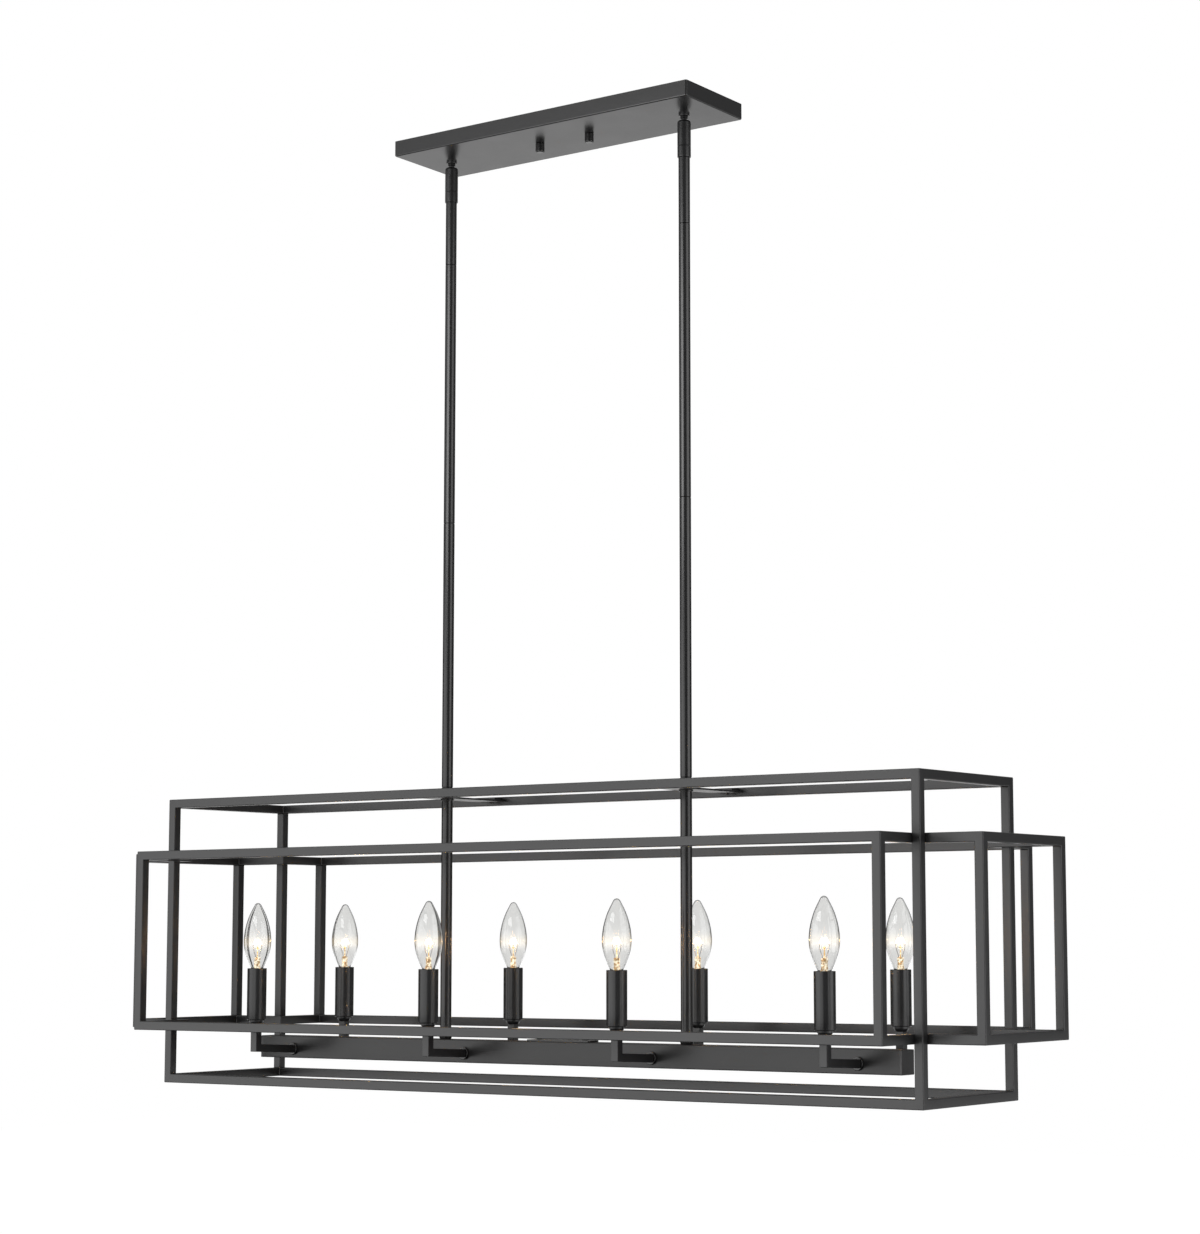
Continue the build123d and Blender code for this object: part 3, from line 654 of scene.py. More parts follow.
def rounded(piece, width, segments=3, angle=30):
    """Round the sharp edges of a piece."""
    return modify(
        piece, "BEVEL", width=width, segments=segments, limit_method="ANGLE",
        angle_limit=math.radians(angle), use_clamp_overlap=True, harden_normals=False,
    )


def cut(piece, cutter):
    """Cut one piece out of another and remove the cutter."""
    modify(piece, "BOOLEAN", operation="DIFFERENCE", object=cutter, solver="EXACT")
    bpy.data.objects.remove(cutter)
    return piece


def dress(piece, name, finish, *nodes, body=hanging, slot="black_metal", smooth=40):
    """Name a piece, smooth it, give it its finish and its body, and hide what it stands for."""
    piece.name = piece.data.name = name
    take(piece)
    bpy.ops.object.shade_smooth_by_angle(angle=math.radians(smooth))
    modify(piece, "WEIGHTED_NORMAL", keep_sharp=True, weight=80)
    if finish:
        piece.data.materials.clear()
        piece.data.materials.append(Finishes.get(finish))
    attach(piece, body)
    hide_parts(*nodes)


def tube_frame(half_xs, half_ys, node, is_rail, is_post):
    """Square tube welded into a frame: a ring at the top and the bottom, posts between.

    half_xs and half_ys are the positive lines of the plan, and a tube fills each cell that is_rail
    names. The top and the bottom are those of a node.
    """
    top, bottom = ends_of(node)
    middle = (top + bottom) / 2
    plan = [[-line for line in reversed(half)] + half for half in (half_xs, half_ys)]
    columns, rows = (len(lines) - 1 for lines in plan)
    # the grid starts far wider than the frame, so that no line lands on the next before its turn
    spread = 10.0
    deselect()
    bpy.ops.mesh.primitive_grid_add(x_subdivisions=columns, y_subdivisions=rows, size=spread)
    edit()
    for axis, lines in enumerate(plan):
        for number, line in enumerate(lines):
            old = spread * (number / (len(lines) - 1) - 0.5)
            pick("VERT", lambda place, corner: abs(place[axis] - old) < hair)
            offset = Vector()
            offset[axis] = line - old
            move(offset)
    pick("FACE", lambda place, face: not is_rail(place.x, place.y))
    bpy.ops.mesh.delete(type="FACE")
    edit()
    move((0, 0, top - middle))
    extrude((0, 0, -tube))
    outwards()
    underside = top - middle - tube

    def under_post(place, face):
        return abs(place.z - underside) < hair and is_post(place.x, place.y)

    pick("FACE", under_post)
    extrude((0, 0, -underside))
    bpy.ops.mesh.delete(type="FACE")
    piece = done()
    modify(
        piece, "MIRROR", use_axis=(False, False, True), use_mirror_merge=True,
        merge_threshold=0.01 * mm,
    )
    edit()
    outwards()
    done()
    piece.location.z = middle
    return rounded(settle(piece), bpy.context.scene.pendant_sizes.tube_edge)


# ---------------------------------------------------------------- operators: ceiling end
class PENDANT_OT_canopy(bpy.types.Operator):
    """Model the canopy: a shallow pan of sheet steel"""

    bl_idname = "pendant.canopy"
    bl_label = "Canopy"

    def execute(self, context):
        sizes = context.scene.pendant_sizes
        block(*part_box("canopy_shell"))
        pick("FACE", lambda place, face: place.z > -hair)
        bpy.ops.mesh.delete(type="FACE")
        soften("z", sizes.canopy_corner, 8)
        pick("EDGE", lambda place, edge: place.z < canopy_bottom + hair)
        bpy.ops.mesh.bevel(offset=sizes.sheet_edge, segments=4, affect="EDGES")
        outwards()
        piece = done()
        modify(piece, "SOLIDIFY", thickness=sizes.canopy_sheet, offset=-1, use_even_offset=True)
        dress(piece, "canopy_pan", "coat", "canopy_shell", body=canopy)
        return {"FINISHED"}


class PENDANT_OT_canopy_nuts(bpy.types.Operator):
    """Model the two knurled nuts that hold the canopy"""

    bl_idname = "pendant.canopy_nuts"
    bl_label = "Canopy nuts"

    def execute(self, context):
        radius = radius_of("canopy_nut_left")
        top, bottom = ends_of("canopy_nut_left")
        nose, shank, chamfer = 1.4 * mm, 2.2 * mm, 0.4 * mm
        skirt, recess = 2.2 * mm, 1.6 * mm
        ridges, points_each, groove = 24, 4, 0.93
        outline = [
            (shank, top),
            (radius - chamfer, top),
            (radius, top - chamfer),
            (radius, top - skirt),
            *arc((radius - nose, bottom + nose), nose, 0, -90),
            (0, bottom),
            (0, bottom + recess),
            (shank, bottom + recess),
        ]
        steps = points_each * ridges
        piece = turned(outline, steps)
        edit()

        def in_groove(place, corner):
            if math.hypot(place.x, place.y) < radius - nose:
                return False
            return round(math.atan2(place.y, place.x) / full_turn * steps) % points_each == 0

        pick("VERT", in_groove)
        resize((groove, groove, 1))
        done()
        for name, x in zip(("left", "right"), nut_xs):
            twin = copy_of(piece, (x, 0, 0))
            node, body = f"canopy_nut_{name}", f"nut_{name}"
            dress(twin, f"knurled_nut_{name}", "turned_coat", node, body=body, smooth=30)
        bpy.data.objects.remove(piece)
        return {"FINISHED"}


class PENDANT_OT_swivels(bpy.types.Operator):
    """Model the ball necks, swivel heads, couplings and pins at the stems' tops"""

    bl_idname = "pendant.swivels"
    bl_label = "Swivels"

    def execute(self, context):
        self.necks()
        self.heads()
        self.couplings()
        self.pins()
        return {"FINISHED"}

    def necks(self):
        """Flanged necks with a few turns of thread showing, ending in the balls."""
        top = high("swivel_balls").z
        flange = radius_of("swivel_balls")
        flange_foot = canopy_bottom - 2.5 * mm
        neck_foot = canopy_bottom - 5.7 * mm
        ball_foot = swivel_pivot - 4.6 * mm
        bore, thread, edge = 2.2 * mm, 4.8 * mm, 0.5 * mm
        ball, waist = 5.2 * mm, 3.0 * mm
        waist_angle = math.degrees(math.acos(waist / ball))
        root, crest, ridges = 4.2 * mm, 4.6 * mm, 3
        pitch = (flange_foot - neck_foot) / ridges
        threads = [
            (radius, flange_foot - (i + 0.5) * pitch + off * pitch)
            for i in range(ridges)
            for radius, off in ((root, 0.45), (crest, 0.15), (crest, -0.15), (root, -0.45))
        ]
        outline = [
            (bore, top),
            (thread, top),
            (thread, canopy_bottom),
            (flange, canopy_bottom),
            *arc((flange - edge, flange_foot + edge), edge, 0, -90, 3),
            *threads,
            (waist, neck_foot),
            *arc((0, swivel_pivot), ball, waist_angle, -64, 14),
            (bore, ball_foot),
        ]
        piece = repeated(turned(outline), stem_places)
        dress(piece, "swivel_necks", "turned_coat", "swivel_balls", body=canopy)

    def heads(self):
        """Round-shouldered heads, slotted across the top for the swing."""
        radius = radius_of("swivel_sockets")
        top, bottom = ends_of("swivel_sockets")
        shoulder, chamfer = 2.8 * mm, 0.5 * mm
        mouth_angle = math.degrees(math.acos(head_mouth / ball_cavity))
        outline = [
            (ball_cavity, bottom),
            (radius - chamfer, bottom),
            (radius, bottom + chamfer),
            *arc((radius - shoulder, top - shoulder), shoulder, 0, 90, 8),
            (head_mouth, top),
            *arc((0, swivel_pivot), ball_cavity, mouth_angle, 0, 8),
        ]
        piece = turned(outline)
        reach, clear = 5.5 * mm, 2 * mm
        block((-head_mouth, -reach, swivel_pivot + 1 * mm), (head_mouth, reach, top + clear))
        soften("z", 0.98 * head_mouth, 8)
        cut(piece, done())
        dress(repeated(piece, stem_places), "swivel_heads", "turned_coat", "swivel_sockets")

    def couplings(self):
        """Couplings between the heads and the rods, a fine line above them."""
        radius = radius_of("rod_couplings")
        top, foot = ends_of("rod_couplings")
        seat = low("swivel_sockets").z
        edge, foot_edge = 0.5 * mm, 0.8 * mm
        outline = [
            (head_mouth, top),
            (ball_cavity, top),
            (ball_cavity, seat),
            (radius - edge, seat),
            *arc((radius - edge, seat - edge), edge, 90, 0, 3),
            *arc((radius - foot_edge, foot + foot_edge), foot_edge, 0, -90, 4),
            (rod_bore, foot),
            (rod_bore, seat - edge),
            (head_mouth, seat - edge),
        ]
        piece = repeated(turned(outline), stem_places)
        dress(piece, "stem_couplings", "turned_coat", "rod_couplings")

    def pins(self):
        """Stub pins, their low domed heads let into the swivel heads' sides."""
        start, seat, half = 2.8 * mm, 6.9 * mm, 1.5 * mm
        block((start, -half, -half), (seat, half, half))
        soften("x", 0.85 * mm, 4)
        shank = done()
        head_radius, head_depth, sunk = 2.5 * mm, 0.7 * mm, 0.2 * mm
        head = cylinder(head_radius, head_depth, steps=24)
        edit()
        pick("FACE", lambda place, face: place.z > hair)
        for inset, rise in ((0.6 * mm, 0.15 * mm), (0.9 * mm, 0.05 * mm)):
            bpy.ops.mesh.inset(thickness=inset)
            move((0, 0, rise))
        done()
        head.rotation_euler.y = math.pi / 2
        head.location.x = seat + head_depth / 2 - sunk
        piece = both_ways(joined([shank, settle(head)]), stem_xs, swivel_pivot)
        dress(piece, "swivel_pin_heads", "turned_coat", "swivel_pins")


# ---------------------------------------------------------------- operators: stems
class PENDANT_OT_stems(bpy.types.Operator):
    """Model both stems: screwed rod segments with a fine joint line, and their collars"""

    bl_idname = "pendant.stems"
    bl_label = "Stems"

    def execute(self, context):
        radius = radius_of("stem_rods_left", "x")
        top, bottom = ends_of("stem_rods_left")
        top_rod, rod = 75.0 * mm, 304.8 * mm
        ends = [top, *(top - top_rod - rod * i for i in range(3)), bottom]
        chamfer = 0.55 * mm
        segments = []
        for start, end in zip(ends, ends[1:]):
            outline = [
                (rod_bore, start),
                (radius - chamfer, start),
                (radius, start - 0.8 * chamfer),
                (radius, end + 0.8 * chamfer),
                (radius - chamfer, end),
                (rod_bore, end),
            ]
            segments.append(turned(outline))
        master = joined(segments)
        for name, x in zip(("left", "right"), stem_xs):
            twin = copy_of(master, (x, 0, 0))
            dress(twin, f"stem_{name}", "turned_coat", f"stem_rods_{name}")
        bpy.data.objects.remove(master)
        self.collars(context.scene.pendant_sizes.turned_edge)
        return {"FINISHED"}

    def collars(self, edge):
        """Rings under the crossbars and tapered collars on the channel."""
        for node, name, inner, taper in (
            ("crossbar_collars", "crossbar_rings", 6.35 * mm, 0.0),
            ("stem_collars", "foot_collars", rod_bore, 0.8 * mm),
        ):
            radius = radius_of(node)
            top, bottom = ends_of(node)
            outline = [
                (inner, top),
                *arc((radius - edge, top - edge), edge, 90, 0, 3),
                *arc((radius - taper - edge, bottom + edge), edge, 0, -90, 3),
                (inner, bottom),
            ]
            dress(repeated(turned(outline), stem_places), name, "turned_coat", node)


# ---------------------------------------------------------------- operators: frames
class PENDANT_OT_frames(bpy.types.Operator):
    """Model both frames of welded square tube with rounded corners"""

    bl_idname = "pendant.frames"
    bl_label = "Frames"

    def execute(self, context):
        tall, mid = high("tall_frame_rails"), high("mid_frame_rails")
        notch_x, notch_y = tall.x - tube, tall.y - tube

        def tall_rail(x, y):
            return abs(x) > notch_x or abs(y) > notch_y

        def tall_post(x, y):
            return abs(x) > notch_x and abs(y) > notch_y

        def inside(x, y, depth):
            wide = abs(x) < notch_x - depth and abs(y) < mid.y - depth
            long = abs(x) < mid.x - depth and abs(y) < notch_y - depth
            return wide or long

        def mid_rail(x, y):
            return inside(x, y, 0) and not inside(x, y, tube)

        def mid_post(x, y):
            at_side = abs(y) > mid.y - tube and abs(x) > notch_x - tube
            at_end = abs(x) > mid.x - tube and abs(y) > notch_y - tube
            return at_side or at_end

        half_xs, half_ys = [notch_x, tall.x], [notch_y, tall.y]
        piece = tube_frame(half_xs, half_ys, "tall_frame_rails", tall_rail, tall_post)
        dress(piece, "tall_frame", "coat", "tall_frame_rails", "tall_frame_posts")
        half_xs = [notch_x - tube, notch_x, mid.x - tube, mid.x]
        half_ys = [notch_y - tube, notch_y, mid.y - tube, mid.y]
        piece = tube_frame(half_xs, half_ys, "mid_frame_rails", mid_rail, mid_post)
        dress(piece, "mid_frame", "coat", "mid_frame_rails", "mid_frame_posts")
        return {"FINISHED"}


class PENDANT_OT_crossbars(bpy.types.Operator):
    """Model the flat crossbars, their welded tabs and their button screws"""

    bl_idname = "pendant.crossbars"
    bl_label = "Crossbars"

    def execute(self, context):
        edge = context.scene.pendant_sizes.bar_edge
        lowest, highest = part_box("crossbars")
        half = highest.x - stem_x
        rod_hole, clear = 6.36 * mm, 20 * mm
        block((-half, lowest.y, lowest.z), (half, highest.y, highest.z))
        bar = cut(done(), cylinder(rod_hole, clear, lowest.z))
        piece = repeated(rounded(bar, edge, 2), stem_places)
        dress(piece, "flat_crossbars", "coat", "crossbars")

        lowest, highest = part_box("crossbar_tabs")
        half, depth = highest.x - stem_x, 14 * mm
        block((-half, highest.y - depth, lowest.z), (half, highest.y, highest.z))
        piece = both_ways(rounded(done(), edge, 2), stem_xs)
        dress(piece, "welded_tabs", "coat", "crossbar_tabs")

        screw_y = highest.y - depth / 2
        screw = button_screw(low("crossbars").z, low("crossbar_screws").z)
        piece = repeated(screw, [(x, side * screw_y, 0) for x in stem_xs for side in sides])
        dress(piece, "crossbar_buttons", "turned_coat", "crossbar_screws")
        return {"FINISHED"}


button_radius = 2.6 * mm


def button_screw(seat, crown):
    """A button-headed screw on the upright axis, with a hexagon socket in its head."""
    head = crown - seat
    shank, shank_length = 1.6 * mm, 5.0 * mm
    shank_end = seat - math.copysign(shank_length, head)
    outline = [
        (0, shank_end),
        (shank, shank_end),
        (shank, seat),
        (button_radius, seat),
        (button_radius, seat + 0.25 * head),
        (0.86 * button_radius, seat + 0.62 * head),
        (0.62 * button_radius, seat + 0.9 * head),
        (0.42 * button_radius, crown),
        (0, crown),
    ]
    socket_radius, socket_depth = 0.95 * mm, 1.6 * mm
    piece = turned(outline, steps=24, closed=False)
    return cut(piece, cylinder(socket_radius, socket_depth, crown, steps=6))


# ---------------------------------------------------------------- operators: channel
class PENDANT_OT_channel(bpy.types.Operator):
    """Model the wiring channel, its end caps, cover plate and screws"""

    bl_idname = "pendant.channel"
    bl_label = "Wiring channel"

    def execute(self, context):
        sizes = context.scene.pendant_sizes
        block(channel_low, channel_high)
        soften("x", sizes.channel_edge, 3)
        dress(done(), "wiring_channel", "channel_coat", "channel_body")

        cap_edge = 0.35 * mm
        block(
            (channel_high.x, channel_low.y, channel_low.z),
            (channel_end, channel_high.y, channel_high.z),
        )
        soften("x", sizes.channel_edge, 3)
        piece = both_ways(rounded(done(), cap_edge, 2), [0.0])
        dress(piece, "end_caps", "coat", "channel_end_caps")

        cover_corner = 3.0 * mm
        block(*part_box("channel_cover"))
        soften("z", cover_corner, 5)
        plate = rounded(done(), sizes.bar_edge, 2)
        dress(plate, "cover_plate", "coat", "channel_cover")

        screw = button_screw(high("channel_cover").z, high("channel_cover_screws").z)
        screw_x = high("channel_cover_screws").x - button_radius
        piece = repeated(screw, [(side * screw_x, 0, 0) for side in sides])
        dress(piece, "cover_buttons", "turned_coat", "channel_cover_screws")
        return {"FINISHED"}


class PENDANT_OT_arms(bpy.types.Operator):
    """Model the socket arms, the round bosses on the channel and the cups"""

    bl_idname = "pendant.arms"
    bl_label = "Arms and cups"

    def execute(self, context):
        sizes = context.scene.pendant_sizes
        boss_z = middle_of("arm_bosses").z
        boss_face = high("arm_bosses").y
        self.arms(sizes, boss_z, boss_face)
        self.bosses(boss_z, boss_face)
        self.cups()
        return {"FINISHED"}

    def arms(self, sizes, boss_z, boss_face):
        """Square tube that climbs a little from the channel and then stands up."""
        half = high("socket_arms").x - pair_xs[-1]
        near, far = socket_y - half, socket_y + half
        top = high("socket_arms").z
        slope = sizes.arm_rise / (socket_y - boss_face)
        thick = half * math.hypot(1, slope)
        block((-half, boss_face, boss_z - thick), (half, near, boss_z + thick))
        pick("FACE", lambda place, face: place.y > near - hair)
        extrude((0, 2 * half, 0))
        pick("FACE", lambda place, face: place.z > boss_z + half - hair and place.y > near)
        extrude((0, 0, top - boss_z - thick))

        def on_wall(place, wall):
            return abs(place.y - wall) < hair and place.z < top - hair

        for wall in (near, far):
            pick("VERT", lambda place, corner: on_wall(place, wall))
            move((0, 0, slope * (wall - boss_face)))
        edit()
        outwards()
        piece = both_ways(rounded(done(), sizes.arm_edge), pair_xs)
        dress(piece, "bent_arms", "coat", "socket_arms")

    def bosses(self, boss_z, boss_face):
        """Round bosses with a plug in the channel's wall."""
        face = channel_high.y
        radius, edge, bore = 7.0 * mm, 0.6 * mm, 2.6 * mm
        plug, plug_end = 4.0 * mm, face - 6.0 * mm
        outline = [
            (bore, plug_end),
            (plug, plug_end),
            (plug, face),
            (radius, face),
            *arc((radius - edge, boss_face - edge), edge, 0, 90, 3),
            (bore, boss_face),
        ]
        boss = turned(outline, along="Y")
        boss.location.z = boss_z
        piece = both_ways(settle(boss), pair_xs)
        dress(piece, "round_bosses", "turned_coat", "arm_bosses")

    def cups(self):
        """Stepped cups with a plug inside the sleeves."""
        top, foot = ends_of("socket_cups")
        plug, rim = 10.1 * mm, 8.0 * mm
        outline = [
            (rod_bore, top),
            (plug, top),
            (plug, sleeve_bottom),
            (rim, sleeve_bottom),
            (rim, sleeve_bottom - 2.2 * mm),
            (7.4 * mm, sleeve_bottom - 3.0 * mm),
            (6.6 * mm, sleeve_bottom - 4.2 * mm),
            (5.6 * mm, foot),
            (rod_bore, foot),
        ]
        cup = rounded(turned(outline), 0.2 * mm, 2, angle=40)
        piece = repeated(cup, [(x, side * socket_y, 0) for x in pair_xs for side in sides])
        dress(piece, "sleeve_cups", "channel_coat", "socket_cups")


class PENDANT_OT_sleeves(bpy.types.Operator):
    """Model the candle sleeves: thin tube with softened lips"""

    bl_idname = "pendant.sleeves"
    bl_label = "Candle sleeves"

    def execute(self, context):
        radius = high("candle_sleeves").y - socket_y
        wall, foot_edge, lip = 1.0 * mm, 0.9 * mm, 0.45 * mm
        inner = radius - wall
        outline = [
            (inner, sleeve_bottom),
            (radius - foot_edge, sleeve_bottom),
            *arc((radius - foot_edge, sleeve_bottom + foot_edge), foot_edge, -90, 0, 5),
            *arc((radius - lip, sleeve_top - lip), lip, 0, 90, 4),
            (inner, sleeve_top),
        ]
        piece = repeated(turned(outline, steps=64), lamp_places)
        dress(piece, "sleeves", "sleeve_coat", "candle_sleeves")
        return {"FINISHED"}


# ---------------------------------------------------------------- operators: lamps
class PENDANT_OT_lamps(bpy.types.Operator):
    """Model one clear candle lamp and put a copy of it in every socket"""

    bl_idname = "pendant.lamps"
    bl_label = "Candle lamps"

    def execute(self, context):
        parts = {
            "envelope": (self.envelope(context), "glass", "clear_glass", "glass"),
            "screw_base": (self.screw_base(), "brass", "brass", "base"),
            "mount": (self.mount(), None, "filament", "filament"),
        }
        for number, place in zip(lamp_numbers, lamp_places):
            body = f"bulb_{number}"
            # each lamp comes to rest at a turn of its own
            screwed_home = math.radians(37 + 28 * math.sin(2.4 * number))
            for part, (master, finish, slot, node) in parts.items():
                twin = copy_of(master, place, screwed_home)
                node = f"{body}_{node}"
                dress(twin, f"{body}_{part}", finish, node, body=body, slot=slot, smooth=60)
                twin.visible_shadow = part != "envelope"
            self.light(context, body, place)
        for master, *rest in parts.values():
            bpy.data.objects.remove(master)
        return {"FINISHED"}

    def envelope(self, context):
        """Blown glass, drawn to a blunt point; its outline is in millimetres above the sleeve."""
        swell = [
            (5.5, -3.0), (6.0, -0.8), (7.3, 0.8), (10.9, 9.0), (14.3, 19.5), (15.7, 30.0),
            (15.0, 40.6), (13.1, 50.2), (9.9, 60.1), (5.7, 68.9),
        ]
        nose_radius = 4.2
        nose_height = (lamp_top - sleeve_top) / mm - nose_radius
        rising = smooth_line(swell, 4) + arc((0, nose_height), nose_radius, 30, 90)
        neck, foot = 5.4 * mm, low("bulb_1_glass").z
        outline = [(radius * mm, sleeve_top + height * mm) for radius, height in rising]
        outline = [(neck, foot), *outline[:-1], (0, lamp_top)]
        piece = turned(outline, closed=False)
        wall = context.scene.pendant_sizes.glass_wall
        return modify(piece, "SOLIDIFY", thickness=wall, offset=-1, use_even_offset=True)

    def screw_base(self):
        """Rolled brass thread on an insulated foot with its centre contact."""
        top, bottom = ends_of("bulb_1_base")
        radius = radius_of("bulb_1_base")
        sheet, pitch, depth, steps = 0.35 * mm, 2.54 * mm, 0.45 * mm, 6
        inner = radius - sheet
        thread_top, thread_foot = top - 2.6 * mm, bottom + 3.0 * mm
        contact, hollow = 1.4 * mm, bottom + 1.6 * mm
        outline = [(inner, top), (radius, top), (radius, thread_top)]
        for i in range(1, int((thread_top - thread_foot) / pitch * steps)):
            roll = 0.5 - 0.5 * math.cos(full_turn * i / steps)
            outline.append((radius - depth * roll, thread_top - i * pitch / steps))
        outline += [
            (radius, thread_foot),
            (3.4 * mm, bottom + 1.2 * mm),
            (2.4 * mm, bottom + 1.0 * mm),
            (1.9 * mm, bottom + 0.3 * mm),
            (contact, bottom),
            (0, bottom),
            (0, hollow),
            (2.6 * mm, hollow),
            (inner - depth, thread_foot + 0.4 * mm),
            (inner - depth, thread_top),
        ]
        return turned(outline, steps=32)

    def mount(self):
        """Pinched glass stem, its cane and button, the leads, and the coiled filament."""
        foot = low("bulb_1_filament").z
        press, press_top = sleeve_top + 8.0 * mm, sleeve_top + 13.0 * mm
        outline = [
            (0, foot),
            (4.2 * mm, foot),
            (4.0 * mm, sleeve_top - 1.0 * mm),
            (3.4 * mm, sleeve_top + 3.0 * mm),
            (3.2 * mm, press),
            (3.8 * mm, press_top - 2.0 * mm),
            (3.4 * mm, press_top - 0.6 * mm),
            (2.6 * mm, press_top),
            (0, press_top),
        ]
        stem = turned(outline, steps=32, closed=False)
        pinch = 0.45
        edit()
        pick("VERT", lambda place, corner: place.z > press - hair)
        resize((1, pinch, 1))
        done()

        button, bead, cane_radius = sleeve_top + 23.0 * mm, 1.3 * mm, 0.75 * mm
        outline = [
            (0, press_top - 1.0 * mm),
            (cane_radius, press_top - 1.0 * mm),
            (0.8 * cane_radius, button - 2.0 * mm),
            *arc((0, button), bead, -60, 90, 8),
        ]
        cane = turned(outline, steps=16, closed=False)

        reach, rise, clamp = 5.0 * mm, 2.6 * mm, 1.9 * mm
        lead_radius, support_radius = 0.27 * mm, 0.1 * mm
        zigzag = [
            (step * reach / 2, filament_height + (rise if step % 2 else -rise))
            for step in range(-2, 3)
        ]
        wires = []
        for side in sides:
            lead = [
                (side * clamp, press_top - 2.0 * mm),
                (side * clamp, press_top + 1.5 * mm),
                (side * reach, filament_height - 8.0 * mm),
                (side * reach, filament_height - rise),
            ]
            wires.append(wire(lead, lead_radius))
        wires += [wire([(0, button), tip], support_radius) for tip in zigzag[1:4]]
        coils = [self.coil(start, end) for start, end in zip(zigzag, zigzag[1:])]
        for finish, pieces in (
            ("stem_glass", [stem]), ("cane_glass", [cane]), ("nickel", wires), ("filament", coils)
        ):
            for piece in pieces:
                piece.data.materials.append(Finishes.get(finish))
        return joined([stem, cane, *wires, *coils])

    def coil(self, start, end):
        """Fine wire wound into a coil between two (x, z) points."""
        run = Vector((end[0] - start[0], 0, end[1] - start[1]))
        turns, steps = 11, 110
        strand, coil_radius = 0.13 * mm, 0.4 * mm
        deselect()
        bpy.ops.mesh.primitive_circle_add(vertices=6, radius=strand, fill_type="NOTHING")
        edit()
        move((coil_radius, 0, 0))
        piece = done()
        piece.rotation_euler.x = math.pi / 2
        settle(piece)
        modify(
            piece, "SCREW", axis="Z", angle=turns * full_turn, screw_offset=run.length,
            steps=steps, render_steps=steps, iterations=1, use_merge_vertices=False,
        )
        edit()
        bpy.ops.mesh.normals_make_consistent(inside=False)
        done()
        piece.rotation_euler.y = math.atan2(run.x, run.z)
        piece.location = (start[0], 0, start[1])
        return settle(piece)

    def light(self, context, body, place):
        """Warm light from the filament, riding on its lamp."""
        finishes = context.scene.pendant_finishes
        deselect()
        bpy.ops.object.light_add(type="POINT", location=(place.x, place.y, filament_height))
        lamp = context.object
        lamp.name = f"{body}_light"
        lamp.data.color = finishes.lamp_colour
        lamp.data.energy = finishes.lamp_power
        lamp.data.shadow_soft_size = 3.0 * mm
        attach(lamp, body)


def wire(points, radius):
    """A round wire through (x, z) points."""
    deselect()
    bpy.ops.curve.primitive_nurbs_path_add()
    curve = bpy.context.object
    curve.data.splines.clear()
    spline = curve.data.splines.new("NURBS")
    spline.points.add(len(points) - 1)
    for point, (x, z) in zip(spline.points, points):
        point.co = (x, 0, z, 1)
    spline.order_u = min(3, len(points))
    spline.use_endpoint_u = True
    spline.resolution_u = 5
    curve.data.bevel_depth = radius
    curve.data.bevel_resolution = 2
    curve.data.use_fill_caps = True
    bpy.ops.object.convert(target="MESH")
    return bpy.context.object


# ---------------------------------------------------------------- operators: hidden pieces, stage
class PENDANT_OT_hidden_parts(bpy.types.Operator):
    """Finish the frame's own pieces that stay as they are"""

    bl_idname = "pendant.hidden_parts"
    bl_label = "Hidden parts"

    def execute(self, context):
        finishes = {
            "zinc": [
                "mounting_strap", "canopy_studs", "stud_lock_nuts", "swivel_lock_nuts",
                "rod_nipples", "channel_lock_nuts", "socket_posts",
            ],
            "enamel": ["ground_screw"],
            "plastic": ["sockets"],
            "brass": ["socket_contacts"],
        }
        for finish, nodes in finishes.items():
            for node in nodes:
                for slot in frame["nodes"][node].material_slots:
                    slot.material = Finishes.get(finish)
        return {"FINISHED"}


